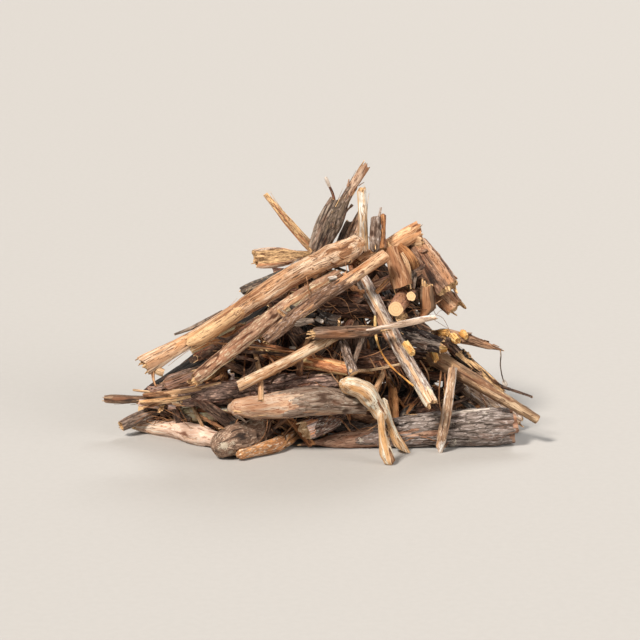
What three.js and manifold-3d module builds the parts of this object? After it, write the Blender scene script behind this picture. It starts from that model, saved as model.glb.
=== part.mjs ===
// A loose heap of broken twigs, root pieces and bark, as it lies on a flat surface.
//
// Units are millimetres, +Z is up and +Y runs from the front of the heap to its back. Every stick is
// a closed solid of its own: a closed cylinder whose stations are carried along the stick's line and
// swollen, flattened or broken off there. The lines below say roughly where each stick lies.
// settle() then lets them slide into the heap until they touch without cutting into one another,
// separate() leaves a hair's gap where two still press together, and bedDown() gives the lowest
// ones the small flats that they stand on.
import * as THREE from "three";
import { mergeVertices } from "three/addons/utils/BufferGeometryUtils.js";
import Module from "manifold-3d";

const GAP = 0.3; // left between two sticks that press together
const HEART = 20; // how far back the heap's middle is, which the sticks slide towards
const SLOPE = THREE.MathUtils.degToRad(14); // a stick sinks this steeply as it slides inwards
const BED_DEPTH = 0.5; // how far the lowest sticks are pressed flat

const SETTLING = {
  pulledPasses: 200,
  freePasses: 200,
  pull: 0.08, // millimetres a pass towards the heart
  sideways: 0.25, // share of a push that may move a stick across the heap's face
  stiffness: 5, // how much harder an inner stick is to push than one of the heap's face
  margin: 0.45, // clearance aimed at between two sticks
};

const COLOURS = {
  peeled_wood: { color: 0xd9ac74, roughness: 0.72 },
  tan_bark: { color: 0xa9744f, roughness: 0.8 },
  grey_bark: { color: 0x8b8078, roughness: 0.92 },
  dark_bark: { color: 0x4a3c36, roughness: 0.95 },
  red_fibre: { color: 0x8a5233, roughness: 0.9 },
};

// Each stick: its line from end to end, its half-thickness along that line, how flat it is (1 is
// round), the turn of its flat side from facing the front, how it ends, and the knots on it.
// A "ground" stick lies on the surface. An "inner" one carries the others and gives way to them.
const STICKS = [
  {
    name: "grey_bark_log",
    finish: "grey_bark",
    line: [[-12, -16, 3], [15, -16, 6], [50, -14, 10], [111, -10, 12]],
    radii: [2, 5.5, 9.2, 10.8, 11.4],
    ends: ["point", "broken"],
    ground: true,
  },
  {
    name: "pink_root_arm",
    finish: "tan_bark",
    line: [[-109, 18, 4], [-87, 8, 5], [-65, -14, 6]],
    radii: [4, 4.6, 5.6],
    ends: ["broken", "round"],
    knots: [{ at: 0.7, size: 0.25, width: 7, turn: 1.2 }],
    ground: true,
  },
  {
    name: "mossy_burl",
    finish: "grey_bark",
    line: [[-57, -46, 9], [-35, -12, 10]],
    radii: [8.2, 9, 8],
    ends: ["round", "broken"],
    knots: [{ at: 0.25, size: 0.2, width: 8, turn: 2.4 }],
    ground: true,
  },
  {
    name: "right_root_arm",
    finish: "tan_bark",
    line: [[-46, -43, 5], [-27, -30, 6], [-12, -4, 9]],
    radii: [3, 4.2, 4.8],
    ends: ["round", "broken"],
  },
  {
    name: "sawn_stub",
    finish: "grey_bark",
    line: [[-9, -34, 14], [18, -16, 21]],
    radii: [6.2, 5.4, 4.5],
    ends: ["cut", "broken"],
    knots: [{ at: 0.12, size: 0.25, width: 5, turn: 3 }],
  },
  {
    name: "knobbly_front_log",
    finish: "grey_bark",
    line: [[-52, -46, 33], [-24, -46, 35], [-2, -45, 38], [26, -42, 34]],
    radii: [6.4, 6.8, 8.2, 7.6, 4.6],
    ends: ["round", "broken"],
    knots: [{ at: 0.62, size: 0.3, width: 9, turn: 1.5 }],
  },
  {
    name: "dark_furrowed_log",
    finish: "dark_bark",
    line: [[-86, -4, 25], [-47, -14, 33], [6, -26, 43]],
    radii: [5.6, 6.9, 7.4],
    ends: ["broken", "broken"],
  },
  {
    name: "splintered_heartwood",
    finish: "peeled_wood",
    line: [[-108, 2, 24], [-87, -3, 25]],
    radii: [2.4, 3.4],
    flat: 0.7,
    ends: ["broken", "cut"],
  },
  {
    name: "long_pale_branch",
    finish: "peeled_wood",
    line: [[-101, -44, 57], [-69, -36, 73], [-44, -28, 86], [-12, -18, 104], [25, -8, 119]],
    radii: [6, 4.8, 5.4, 6.4, 6.4, 7.2],
    ends: ["broken", "round"],
    knots: [
      { at: 0.93, size: 0.22, width: 9, turn: 0.8 },
      { at: 0.45, size: 0.12, width: 8, turn: 2 },
    ],
  },
  {
    name: "side_limb_stub",
    finish: "peeled_wood",
    line: [[-77, -32, 65], [-47, -30, 83]],
    radii: [2.4, 3.2],
    ends: ["cut", "point"],
  },
  {
    name: "tan_diagonal_branch",
    finish: "tan_bark",
    line: [[-72, -46, 50], [-46, -40, 71], [-22, -30, 89], [8, -14, 106]],
    radii: [4, 4.4, 4.4, 3.8],
    ends: ["broken", "broken"],
    knots: [{ at: 0.55, size: 0.15, width: 6, turn: 1 }],
  },
  {
    name: "striped_grey_branch",
    finish: "grey_bark",
    line: [[-31, -36, 74], [-4, -34, 95], [19, -27, 108], [38, -22, 120]],
    radii: [3.8, 4, 4, 4.1],
    ends: ["broken", "cut"],
  },
  {
    name: "pale_cut_stick",
    finish: "peeled_wood",
    line: [[-48, -44, 46], [-20, -42, 61], [9, -36, 77]],
    radii: [3.6, 3.4, 3.4],
    ends: ["cut", "broken"],
  },
  {
    name: "orange_brown_branch",
    finish: "red_fibre",
    line: [[-41, -10, 60], [-12, -22, 55], [17, -34, 51]],
    radii: [4, 4.4, 4],
    ends: ["broken", "broken"],
    knots: [{ at: 0.8, size: 0.2, width: 7, turn: 1.6 }],
  },
  {
    name: "forked_twig_stem",
    finish: "peeled_wood",
    line: [[12, -47, 47], [24, -49, 46], [34, -47, 31]],
    radii: [4, 6, 4],
    ends: ["broken", "cut"],
  },
  {
    name: "forked_twig_left_tine",
    finish: "peeled_wood",
    line: [[35, -46, 30], [36, -47, 17], [40, -48, 4]],
    radii: [2.4, 2.8, 4],
    ends: ["cut", "round"],
    ground: true,
  },
  {
    name: "forked_twig_right_tine",
    finish: "peeled_wood",
    line: [[38, -41, 32], [42, -40, 17], [48, -38, 6]],
    radii: [2.3, 2.5, 3.2],
    ends: ["cut", "cut"],
  },
  {
    name: "slant_cut_stick",
    finish: "tan_bark",
    line: [[78, -24, 50], [75, -32, 33], [70, -34, 5]],
    radii: [2.9, 3, 3.1],
    ends: ["broken", "slant"],
  },
  {
    name: "grey_white_stick",
    finish: "grey_bark",
    line: [[24, -8, 103], [38.5, -24, 80], [49, -36, 62], [64, -50, 38]],
    radii: [4.2, 3.6, 3.9, 4.6],
    ends: ["broken", "broken"],
    knots: [{ at: 0.5, size: 0.25, width: 6, turn: 1.2 }],
  },
  {
    name: "long_right_stick",
    finish: "tan_bark",
    line: [[66, -2, 52], [94, -16, 38], [127, -24, 19]],
    radii: [5.3, 4.1, 2.6],
    ends: ["broken", "broken"],
  },
  {
    name: "split_bark_shell",
    finish: "red_fibre",
    line: [[80, -8, 58], [109, -6, 33]],
    radii: [4.2, 2.7],
    flat: 0.55,
    ends: ["broken", "broken"],
  },
  {
    name: "pointed_bark_shard",
    finish: "red_fibre",
    line: [[69, -4, 68], [89, -14, 66], [108, -20, 61]],
    radii: [4, 3.6, 1],
    flat: 0.5,
    ends: ["broken", "point"],
  },
  {
    name: "tall_splintered_branch",
    finish: "dark_bark",
    line: [[25.5, 12, 165], [12.5, 9, 143], [-1, 6, 113]],
    radii: [2.9, 3.1, 5.2, 4.2],
    flat: 0.8,
    ends: ["broken", "broken"],
  },
  {
    name: "curled_bark_strip",
    finish: "tan_bark",
    line: [[-33, 12, 149], [-19, 10, 132], [-3, 8, 114]],
    radii: [2.1, 2.5, 2.4],
    flat: 0.45,
    ends: ["cut", "broken"],
  },
  {
    name: "open_bark_shell",
    finish: "peeled_wood",
    line: [[-37, -16, 116], [-24, -6, 114], [-6, 6, 112]],
    radii: [6.4, 5.4, 3],
    flat: 0.6,
    turn: 0.5,
    ends: ["broken", "broken"],
  },
  {
    name: "pale_upright_stick",
    finish: "peeled_wood",
    line: [[24, 4, 154], [26, 3, 110]],
    radii: [2.9, 2.9],
    ends: ["cut", "broken"],
  },
  {
    name: "grey_brown_plate",
    finish: "grey_bark",
    line: [[26, 20, 142], [13, 16, 113]],
    radii: [2.2, 5],
    flat: 0.45,
    ends: ["point", "broken"],
  },
  {
    name: "lichen_stub",
    finish: "grey_bark",
    line: [[32.5, -2, 138], [31.5, -8, 119]],
    radii: [2.6, 2.5],
    ends: ["cut", "cut"],
  },
  {
    name: "orange_tan_slab",
    finish: "tan_bark",
    line: [[25, -8, 115], [57, 10, 127]],
    radii: [4.4, 5.8],
    flat: 0.6,
    ends: ["broken", "broken"],
  },
  {
    name: "striped_bark_slab",
    finish: "tan_bark",
    line: [[58, 10, 118.5], [73.5, -10, 96]],
    radii: [6.6, 8.2],
    flat: 0.55,
    ends: ["broken", "broken"],
  },
  {
    name: "brown_flared_stub",
    finish: "tan_bark",
    line: [[42, -8, 118], [49, -14, 97]],
    radii: [3.8, 5, 7],
    ends: ["broken", "cut"],
  },
  {
    name: "round_cut_stick",
    finish: "tan_bark",
    line: [[49, -36, 98], [52, 10, 89]],
    radii: [4.7, 4.6],
    ends: ["cut", "broken"],
  },
  {
    name: "small_round_cut_stick",
    finish: "tan_bark",
    line: [[53, -27, 97], [57.5, 14, 89.5]],
    radii: [2.8, 3],
    ends: ["cut", "broken"],
  },
  {
    name: "lower_flared_stub",
    finish: "tan_bark",
    line: [[55, -14, 96], [62, -18, 83]],
    radii: [3.8, 4.6, 5.8],
    ends: ["broken", "cut"],
  },
  {
    name: "frayed_stub",
    finish: "red_fibre",
    line: [[64.5, -4, 97], [79, -12, 89]],
    radii: [4.6, 6.8],
    ends: ["broken", "broken"],
  },
  {
    name: "brown_fibrous_branch",
    finish: "red_fibre",
    line: [[-3, -36, 76], [34, -38, 78]],
    radii: [3.4, 4, 3],
    ends: ["broken", "point"],
  },
  {
    name: "pale_pink_wedge",
    finish: "peeled_wood",
    line: [[26, -45, 80], [46, -43, 83], [66, -34, 85]],
    radii: [1, 2.4, 2.1],
    flat: 0.5,
    ends: ["point", "broken"],
  },
  {
    name: "black_bark_chunk",
    finish: "dark_bark",
    line: [[45, -24, 73], [69, -25, 66]],
    radii: [5, 5.6, 5],
    flat: 0.65,
    ends: ["broken", "broken"],
  },
  {
    name: "flaky_dark_chunk",
    finish: "dark_bark",
    line: [[-14, -32, 88], [9, -34, 80]],
    radii: [4.6, 5, 4],
    flat: 0.7,
    ends: ["broken", "broken"],
  },
  {
    name: "small_grey_stub",
    finish: "grey_bark",
    line: [[13, -34, 69], [19, -42, 52]],
    radii: [2.4, 2.8],
    ends: ["broken", "cut"],
  },
  {
    name: "grey_left_stub",
    finish: "grey_bark",
    line: [[-119, -8, 12], [-90, 10, 21]],
    radii: [3.4, 3.4],
    ends: ["broken", "broken"],
  },
  {
    name: "far_left_stick",
    finish: "tan_bark",
    line: [[-127, 30, 26], [-92, 12, 24]],
    radii: [3.2, 2.2, 2.2],
    ends: ["broken", "broken"],
  },
  {
    name: "left_bark_plate",
    finish: "red_fibre",
    line: [[-94, 6, 30], [-74, 0, 42]],
    radii: [5.6, 6.4, 4.4],
    flat: 0.4,
    ends: ["broken", "broken"],
  },
  {
    name: "rear_left_branch",
    finish: "grey_bark",
    line: [[-46, 20, 88], [-8, 4, 110]],
    radii: [3.6, 3.2],
    ends: ["broken", "broken"],
  },
  {
    name: "under_branch_bark",
    finish: "dark_bark",
    line: [[-74, -12, 56], [-30, -8, 78]],
    radii: [3.5, 4.2],
    ends: ["broken", "broken"],
  },
  // Those that carry the heap and those that close it behind.
  {
    name: "inner_low_log",
    finish: "dark_bark",
    line: [[-58, 20, 12], [70, 22, 12]],
    radii: [10, 11.5, 9.5],
    ends: ["broken", "broken"],
    ground: true,
    inner: true,
  },
  {
    name: "inner_middle_log",
    finish: "dark_bark",
    line: [[-52, 14, 46], [62, 16, 44]],
    radii: [8, 9.5, 8.5],
    ends: ["broken", "broken"],
    inner: true,
  },
  {
    name: "inner_upper_log",
    finish: "red_fibre",
    line: [[-28, 14, 84], [44, 12, 80]],
    radii: [6.5, 7.5, 6.5],
    ends: ["broken", "broken"],
    inner: true,
  },
  {
    name: "back_left_base_log",
    finish: "grey_bark",
    line: [[-112, 48, 8], [-60, 72, 8], [-14, 80, 8]],
    radii: [6.5, 8, 7],
    ends: ["cut", "broken"],
    knots: [{ at: 0.35, size: 0.25, width: 9, turn: 4.2 }],
    ground: true,
  },
  {
    name: "back_right_base_log",
    finish: "tan_bark",
    line: [[12, 92, 7], [60, 74, 8], [112, 40, 7]],
    radii: [6, 7.4, 6],
    ends: ["broken", "cut"],
    ground: true,
  },
  {
    name: "back_left_leaning_branch",
    finish: "tan_bark",
    line: [[-96, 76, 6], [-50, 62, 52], [2, 36, 112]],
    radii: [5.6, 5.4, 4.8],
    ends: ["broken", "broken"],
    knots: [{ at: 0.5, size: 0.2, width: 8, turn: 4 }],
  },
  {
    name: "back_right_leaning_branch",
    finish: "peeled_wood",
    line: [[96, 72, 8], [56, 58, 58], [12, 36, 118]],
    radii: [6, 5.6, 5],
    ends: ["broken", "cut"],
  },
  {
    name: "back_cross_branch",
    finish: "grey_bark",
    line: [[-66, 78, 28], [2, 84, 36], [68, 76, 30]],
    radii: [5, 6.4, 5.2],
    ends: ["broken", "broken"],
    knots: [{ at: 0.6, size: 0.25, width: 8, turn: 4.6 }],
  },
  {
    name: "back_middle_branch",
    finish: "dark_bark",
    line: [[-44, 62, 58], [8, 66, 66], [56, 60, 72]],
    radii: [5.4, 6, 4.8],
    ends: ["broken", "broken"],
  },
  {
    name: "back_upper_slab",
    finish: "red_fibre",
    line: [[-28, 44, 96], [34, 46, 88]],
    radii: [6, 6.8, 5.4],
    flat: 0.5,
    ends: ["broken", "broken"],
  },
  {
    name: "back_upright_stick",
    finish: "tan_bark",
    line: [[-16, 98, 4], [-4, 78, 62], [6, 52, 108]],
    radii: [4.4, 4.2, 3.6],
    ends: ["cut", "broken"],
  },
  {
    name: "right_side_branch",
    finish: "grey_bark",
    line: [[118, 16, 6], [92, 18, 24], [58, 20, 66]],
    radii: [5, 5.4, 4.6],
    ends: ["broken", "broken"],
  },
  {
    name: "left_side_branch",
    finish: "dark_bark",
    line: [[-104, 30, 24], [-70, 30, 48], [-30, 28, 82]],
    radii: [5.4, 5.8, 5],
    ends: ["broken", "broken"],
  },
  {
    name: "left_inner_root",
    finish: "tan_bark",
    line: [[-96, 34, 6], [-70, 4, 16], [-44, -6, 22]],
    radii: [4.6, 5.2, 4.4],
    ends: ["broken", "broken"],
    inner: true,
  },
];

// The half-thickness from which a stick is given that many sides.
const SIDES = [[7.5, 12], [4.2, 10], [2.8, 8], [0, 7]];
const STATION_LENGTH = 15; // spacing of the stations along a stick
const PART_LENGTH = 22.5; // length of the straight parts that stand for a stick as it slides
const CROWDING = 0.05; // how much closer the stations stand near a stick's ends, as a share
const LUMPS = 0.06; // how much a stick's girth wanders, as a share
const GOLDEN_ANGLE = 2.399963; // keeps neighbours from looking alike
const ENDWISE = 0.85; // a stick that runs this much from front to back counts as seen end on
const CUT_TILT = 0.12; // how far a cut leans, as a share of the half-thickness
const SLANT_TILT = 0.9; // the same for a slanting cut
const JAGS = [[3, 0.28], [-5, 0.22]]; // waves round a broken rim: how many, and how far they stand out
const GROUND = { size: 600, depth: 40 }; // the block below the surface
const UP = new THREE.Vector3(0, 0, 1);

const wasm = await Module();
wasm.setup();

const smooth = (x) => x * x * (3 - 2 * x);

/** The value at `at`, from 0 to 1, of evenly spaced values that run smoothly into one another. */
function along(values, at) {
  const place = Math.min(Math.max(at, 0), 1) * (values.length - 1);
  const index = Math.min(Math.floor(place), values.length - 2);
  return THREE.MathUtils.lerp(values[index], values[index + 1], smooth(place - index));
}

/** A stick on its way into the heap: its line, and how far each end of it has slid. */
class Stick {
  constructor(spec, order) {
    Object.assign(this, { flat: 1, turn: 0, knots: [], ground: false, inner: false }, spec);
    this.seed = order * GOLDEN_ANGLE;
    this.curve = new THREE.CatmullRomCurve3(this.line.map((p) => new THREE.Vector3(...p)));
    this.length = this.curve.getLength();
    this.thickest = Math.max(...this.radii);
    this.slid = [new THREE.Vector3(), new THREE.Vector3()];
    this.span = this.curve.getPointAt(0).distanceTo(this.curve.getPointAt(1));
    const inwards = Math.sign(HEART - this.curve.getPointAt(0.5).y);
    const slope = this.ground ? 0 : SLOPE;
    this.slide = new THREE.Vector3(0, inwards * Math.cos(slope), -Math.sin(slope));
    this.facing = this.frontwards();
    this.parts = Math.max(2, Math.ceil(this.length / PART_LENGTH));
    this.rests = Array.from({ length: this.parts + 1 }, (_, i) => this.rest(i / this.parts));
  }

  /** The direction that the stick's flat side looks in before it is turned. */
  frontwards() {
    const run = this.curve.getPointAt(1).sub(this.curve.getPointAt(0)).normalize();
    return Math.abs(run.y) > ENDWISE ? new THREE.Vector3(0, 0, 1) : new THREE.Vector3(0, -1, 0);
  }

  /** What doesn't change at one place as the stick slides: its first position, girth and frame. */
  rest(at) {
    const { side, out } = this.frame(at);
    return { home: this.curve.getPointAt(at), girth: along(this.radii, at), side, out };
  }

  /** Where a place that was first at `home` has slid to. */
  slidden(home, at) {
    return home.clone().addScaledVector(this.slid[0], 1 - at).addScaledVector(this.slid[1], at);
  }

  /** The directions across the stick: along its wide side, out of its flat side, and its run. */
  frame(at) {
    const run = this.curve.getTangentAt(at);
    const side = run.clone().cross(this.facing).normalize();
    const out = side.clone().cross(run).normalize();
    const turned = side.clone().multiplyScalar(Math.cos(this.turn));
    turned.addScaledVector(out, Math.sin(this.turn));
    return { run, side: turned, out: turned.clone().cross(run).normalize() };
  }

  /** How far the stick's skin lies from its line, in a given direction. */
  reach(at, direction) {
    const { girth, side, out } = this.rests[Math.round(at * this.parts)];
    const thin = direction.dot(out) * this.flat;
    return girth * Math.hypot(direction.dot(side), thin) * (1 + LUMPS * 0.5);
  }

  /** Slides the stick so that its point at `at` moves by `step`. */
  nudge(at, step) {
    const share = (1 - at) ** 2 + at ** 2;
    this.slid[0].addScaledVector(step, (1 - at) / share);
    this.slid[1].addScaledVector(step, at / share);
  }

  /** Puts back the stick's own length, which uneven slides of its two ends would change. */
  keepLength() {
    const run = this.places.at(-1).clone().sub(this.places[0]);
    run.setLength((run.length() - this.span) / 2);
    this.slid[0].add(run);
    this.slid[1].sub(run);
  }

  /** Works out where the stick has slid to, and the box that it fills. */
  update() {
    this.places = this.rests.map(({ home }, i) => this.slidden(home, i / this.parts));
    this.box = new THREE.Box3().setFromPoints(this.places);
    this.box.expandByScalar(this.thickest + SETTLING.margin / 2);
  }

  /** How high the lowest point of the stick's skin stands. */
  lowest() {
    const heights = this.places.map((place, i) => place.z - this.reach(i / this.parts, UP));
    return Math.min(...heights);
  }
}

/** The closest approach of two straight stretches: the share along each, and the points there. */
function closest(a0, a1, b0, b1) {
  const u = a1.clone().sub(a0);
  const v = b1.clone().sub(b0);
  const w = a0.clone().sub(b0);
  const [uu, uv, vv, uw, vw] = [u.dot(u), u.dot(v), v.dot(v), u.dot(w), v.dot(w)];
  const spread = uu * vv - uv * uv;
  const clamp = (x) => Math.min(Math.max(x, 0), 1);
  let s = spread > 1e-9 ? clamp((uv * vw - vv * uw) / spread) : 0.5;
  const t = clamp((uv * s + vw) / vv);
  s = clamp((uv * t - uw) / uu);
  return { s, t, a: a0.clone().addScaledVector(u, s), b: b0.clone().addScaledVector(v, t) };
}

/** A push, with most of what runs across the heap's face taken out of it. */
function eased(push, { slide }) {
  const inward = push.dot(slide);
  const across = push.clone().addScaledVector(slide, -inward);
  return across.multiplyScalar(SETTLING.sideways).addScaledVector(slide, inward);
}

/** Moves two sticks apart where they come closer than their thickness. */
function partPair(one, other) {
  if (!one.box.intersectsBox(other.box)) return;
  const weight = (stick) => stick.thickest * (stick.inner ? SETTLING.stiffness : 1);
  const share = weight(other) / (weight(one) + weight(other));
  for (let i = 0; i < one.parts; i++) {
    for (let j = 0; j < other.parts; j++) {
      const [a0, a1, b0, b1] = [one.places[i], one.places[i + 1], other.places[j], other.places[j + 1]];
      const meet = closest(a0, a1, b0, b1);
      const apart = meet.a.clone().sub(meet.b);
      const distance = apart.length();
      if (distance > one.thickest + other.thickest + SETTLING.margin) continue;
      const direction = distance > 1e-6 ? apart.divideScalar(distance) : other.slide.clone();
      const [atOne, atOther] = [(i + meet.s) / one.parts, (j + meet.t) / other.parts];
      const needed = one.reach(atOne, direction) + other.reach(atOther, direction);
      const short = needed + SETTLING.margin - distance;
      if (short <= 0) continue;
      one.nudge(atOne, eased(direction.clone().multiplyScalar(short * share), one));
      other.nudge(atOther, eased(direction.clone().multiplyScalar(short * (share - 1)), other));
    }
  }
}

/** Lifts whatever part of a stick has sunk too deep, and lowers a ground stick onto its bed. */
function keepLevel(stick) {
  const bed = stick.ground ? -BED_DEPTH : SETTLING.margin;
  const above = stick.lowest() - bed;
  if (stick.ground && above > 0) stick.nudge(0.5, UP.clone().multiplyScalar(-above));
  stick.places.forEach((place, i) => {
    const at = i / stick.parts;
    const sunk = bed + stick.reach(at, UP) - place.z;
    if (sunk > 0) stick.nudge(at, UP.clone().multiplyScalar(sunk / 2));
  });
}

/** Slides every stick towards the heart of the heap, then lets them push one another clear. */
function settle(sticks) {
  for (let pass = 0; pass < SETTLING.pulledPasses + SETTLING.freePasses; pass++) {
    const pull = pass < SETTLING.pulledPasses ? SETTLING.pull : 0;
    for (const stick of sticks) {
      if (!stick.inner && !stick.ground) stick.nudge(0.5, stick.slide.clone().multiplyScalar(pull));
      stick.update();
      keepLevel(stick);
      stick.keepLength();
      stick.update();
    }
    sticks.forEach((one, i) => sticks.slice(i + 1).forEach((other) => partPair(one, other)));
  }
}

/** The girth at one place on a stick's skin, with its lumps and knots, before it is flattened. */
function girth(stick, at, angle) {
  const wander =
    Math.sin(2 * angle + stick.seed + 4 * at) * 0.5 +
    Math.sin(3 * angle - 2 * stick.seed) * 0.3 +
    Math.sin(9 * at + 3 * stick.seed) * 0.5;
  let size = along(stick.radii, at) * (1 + LUMPS * wander);
  for (const knot of stick.knots) {
    const off = ((at - knot.at) * stick.length) / knot.width;
    const towards = Math.max(0, Math.cos(angle - knot.turn));
    size *= 1 + knot.size * Math.exp(-off * off) * towards;
  }
  return size;
}

/** How a stick ends: how much of its girth is left there, and how far its rim and middle stand out. */
function ending(kind, seed, angle, radius) {
  const jagged = JAGS.reduce((sum, [n, height]) => sum + Math.sin(n * angle + seed) * height, 0);
  return {
    cut: { left: 1, rim: Math.cos(angle + seed) * CUT_TILT * radius, middle: 0 },
    slant: { left: 0.92, rim: Math.cos(angle + 1.2) * SLANT_TILT * radius, middle: 0 },
    broken: { left: 0.94, rim: jagged * radius, middle: -0.1 * radius },
    round: { left: 0.62, rim: 0, middle: 0.28 * radius },
    point: { left: 0.45, rim: jagged * radius, middle: 0.3 * radius },
  }[kind];
}

/** A stick as a closed mesh, with its skin moved out by `growth`. */
function skin(stick, growth = 0) {
  const sides = SIDES.find(([from]) => stick.thickest >= from)[1];
  const stations = Math.max(3, Math.ceil(stick.length / STATION_LENGTH) + 1);
  const geometry = new THREE.CylinderGeometry(1, 1, 1, sides, stations);
  const position = geometry.getAttribute("position");
  for (let i = 0; i < position.count; i++) {
    const [x, y, z] = [position.getX(i), position.getY(i), position.getZ(i)];
    const even = y + 0.5;
    const at = even - CROWDING * Math.sin(2 * Math.PI * even);
    const angle = Math.atan2(z, x);
    const out = Math.hypot(x, z); // 1 on the rim and sides, 0 in the middle of an end
    const { run, side, out: up } = stick.frame(at);
    let size = girth(stick, at, angle) * out;
    const place = stick.slidden(stick.curve.getPointAt(at), at);
    if (even < 1e-6 || even > 1 - 1e-6) {
      const first = even < 0.5;
      const kind = stick.ends[first ? 0 : 1];
      const end = ending(kind, stick.seed + (first ? 0 : 1.7), angle, along(stick.radii, at));
      const beyond = out > 0.5 ? end.rim : end.middle;
      size *= end.left;
      place.addScaledVector(run, (first ? -1 : 1) * (beyond + growth));
    }
    size += growth * out;
    place.addScaledVector(side, Math.cos(angle) * size);
    place.addScaledVector(up, Math.sin(angle) * size * stick.flat);
    position.setXYZ(i, place.x, place.y, place.z);
  }
  return geometry;
}

/** A closed geometry as a manifold solid. */
function solidOf(geometry) {
  const bare = new THREE.BufferGeometry();
  bare.setAttribute("position", geometry.getAttribute("position"));
  bare.setIndex(geometry.getIndex());
  const merged = mergeVertices(bare, 1e-4);
  const triVerts = new Uint32Array(merged.index.array);
  const vertProperties = merged.attributes.position.array;
  const build = () => new wasm.Manifold(new wasm.Mesh({ numProp: 3, vertProperties, triVerts }));
  const solid = build();
  if (solid.volume() > 0) return solid;
  for (let i = 0; i < triVerts.length; i += 3) {
    [triVerts[i + 1], triVerts[i + 2]] = [triVerts[i + 2], triVerts[i + 1]];
  }
  return build();
}

/** The largest body of a solid that a cut may have left in pieces. */
function largest(solid) {
  return solid.decompose().reduce((best, body) => (body.volume() > best.volume() ? body : best));
}

function boxesMeet(one, other) {
  const [a, b] = [one.boundingBox(), other.boundingBox()];
  return [0, 1, 2].every((k) => a.min[k] < b.max[k] && b.min[k] < a.max[k]);
}

/** Cuts the thicker of two sticks back from the thinner one wherever they still press together. */
function separate(sticks) {
  const order = [...sticks].sort((a, b) => a.thickest - b.thickest);
  const grown = order.map((stick) => solidOf(skin(stick, GAP)));
  const solids = order.map((stick) => solidOf(skin(stick)));
  for (let thick = 1; thick < order.length; thick++) {
    for (let thin = 0; thin < thick; thin++) {
      if (!boxesMeet(solids[thick], grown[thin])) continue;
      if (solids[thick].intersect(grown[thin]).volume() < 1e-3) continue;
      solids[thick] = largest(solids[thick].subtract(grown[thin]));
    }
  }
  return new Map(order.map((stick, i) => [stick.name, solids[i]]));
}

/** Takes off what would reach below the surface, which leaves a stick a flat to stand on. */
function bedDown(solid) {
  if (solid.boundingBox().min[2] >= 0) return solid;
  const ground = new THREE.BoxGeometry(GROUND.size, GROUND.size, GROUND.depth);
  ground.translate(0, 0, -GROUND.depth / 2);
  return largest(solid.subtract(solidOf(ground)));
}

function meshOf(stick, solid) {
  const { numProp, numVert, vertProperties, triVerts } = solid.getMesh();
  const places = new Float32Array(numVert * 3);
  for (let i = 0; i < numVert; i++) {
    places.set(vertProperties.subarray(i * numProp, i * numProp + 3), i * 3);
  }
  const geometry = new THREE.BufferGeometry();
  geometry.setAttribute("position", new THREE.BufferAttribute(places, 3));
  geometry.setIndex(new THREE.BufferAttribute(new Uint32Array(triVerts), 1));
  geometry.computeVertexNormals();
  const material = new THREE.MeshStandardMaterial({ ...COLOURS[stick.finish], metalness: 0 });
  const mesh = new THREE.Mesh(geometry, material);
  mesh.name = stick.name;
  return mesh;
}

/** The whole heap, standing on the plane z = 0 with its middle over the origin. */
function buildHeap() {
  const sticks = STICKS.map((spec, order) => new Stick(spec, order));
  settle(sticks);
  const solids = separate(sticks);
  const heap = new THREE.Group();
  for (const stick of sticks) heap.add(meshOf(stick, bedDown(solids.get(stick.name))));
  const middle = new THREE.Box3().setFromObject(heap).getCenter(new THREE.Vector3());
  heap.position.set(-middle.x, -middle.y, 0);
  return heap;
}

export default buildHeap();
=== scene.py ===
"""A loose heap of broken twigs, root ends and bark scraps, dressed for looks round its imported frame.

Each stick of the frame is read for its run and its girth, and a turned blank is carved along it: bark
that has half peeled off, furrows, ribs of grain, knots, and ends that are sawn, snapped or frayed.
Splinters, bast fibres, root hairs, bark flakes and chips, too small for the frame, are laid on the
sticks and between them afterwards.
"""

import itertools  # noqa: E402
import logging  # noqa: E402
import math  # noqa: E402
from dataclasses import dataclass, field, replace  # noqa: E402
from enum import Enum  # noqa: E402
from typing import Callable, ClassVar, Iterable, Sequence  # noqa: E402

import bmesh  # noqa: E402
import bpy  # noqa: E402
import numpy as np  # noqa: E402
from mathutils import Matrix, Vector  # noqa: E402
from mathutils.bvhtree import BVHTree  # noqa: E402


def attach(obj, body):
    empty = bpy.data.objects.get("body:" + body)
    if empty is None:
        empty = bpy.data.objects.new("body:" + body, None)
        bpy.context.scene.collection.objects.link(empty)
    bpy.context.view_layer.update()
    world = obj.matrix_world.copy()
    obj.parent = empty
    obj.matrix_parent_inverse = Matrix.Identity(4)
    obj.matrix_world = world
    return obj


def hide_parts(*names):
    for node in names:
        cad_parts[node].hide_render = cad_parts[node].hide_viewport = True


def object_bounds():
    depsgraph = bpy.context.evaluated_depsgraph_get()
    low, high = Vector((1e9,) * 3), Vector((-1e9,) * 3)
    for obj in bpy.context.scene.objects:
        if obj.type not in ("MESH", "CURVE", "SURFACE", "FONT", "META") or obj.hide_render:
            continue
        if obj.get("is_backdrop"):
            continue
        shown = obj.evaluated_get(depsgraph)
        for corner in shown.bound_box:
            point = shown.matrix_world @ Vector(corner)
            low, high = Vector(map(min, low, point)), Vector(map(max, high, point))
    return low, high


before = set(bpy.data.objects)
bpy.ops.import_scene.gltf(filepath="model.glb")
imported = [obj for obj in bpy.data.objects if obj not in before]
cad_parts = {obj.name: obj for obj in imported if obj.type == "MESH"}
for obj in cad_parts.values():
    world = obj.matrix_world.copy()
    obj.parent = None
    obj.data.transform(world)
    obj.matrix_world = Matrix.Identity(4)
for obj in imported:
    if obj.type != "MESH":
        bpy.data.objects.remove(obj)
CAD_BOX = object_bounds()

LOG = logging.getLogger("heap")
MM = 0.001
TURN = 2 * math.pi
SMOOTH_ANGLE = math.radians(52)  # sharper edges than this stay sharp
END_NORMAL = 0.9  # a face that leans less than this along the blank isn't on its end
STICK_SEEDS = 9000  # the first of the sticks' random draws
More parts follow.
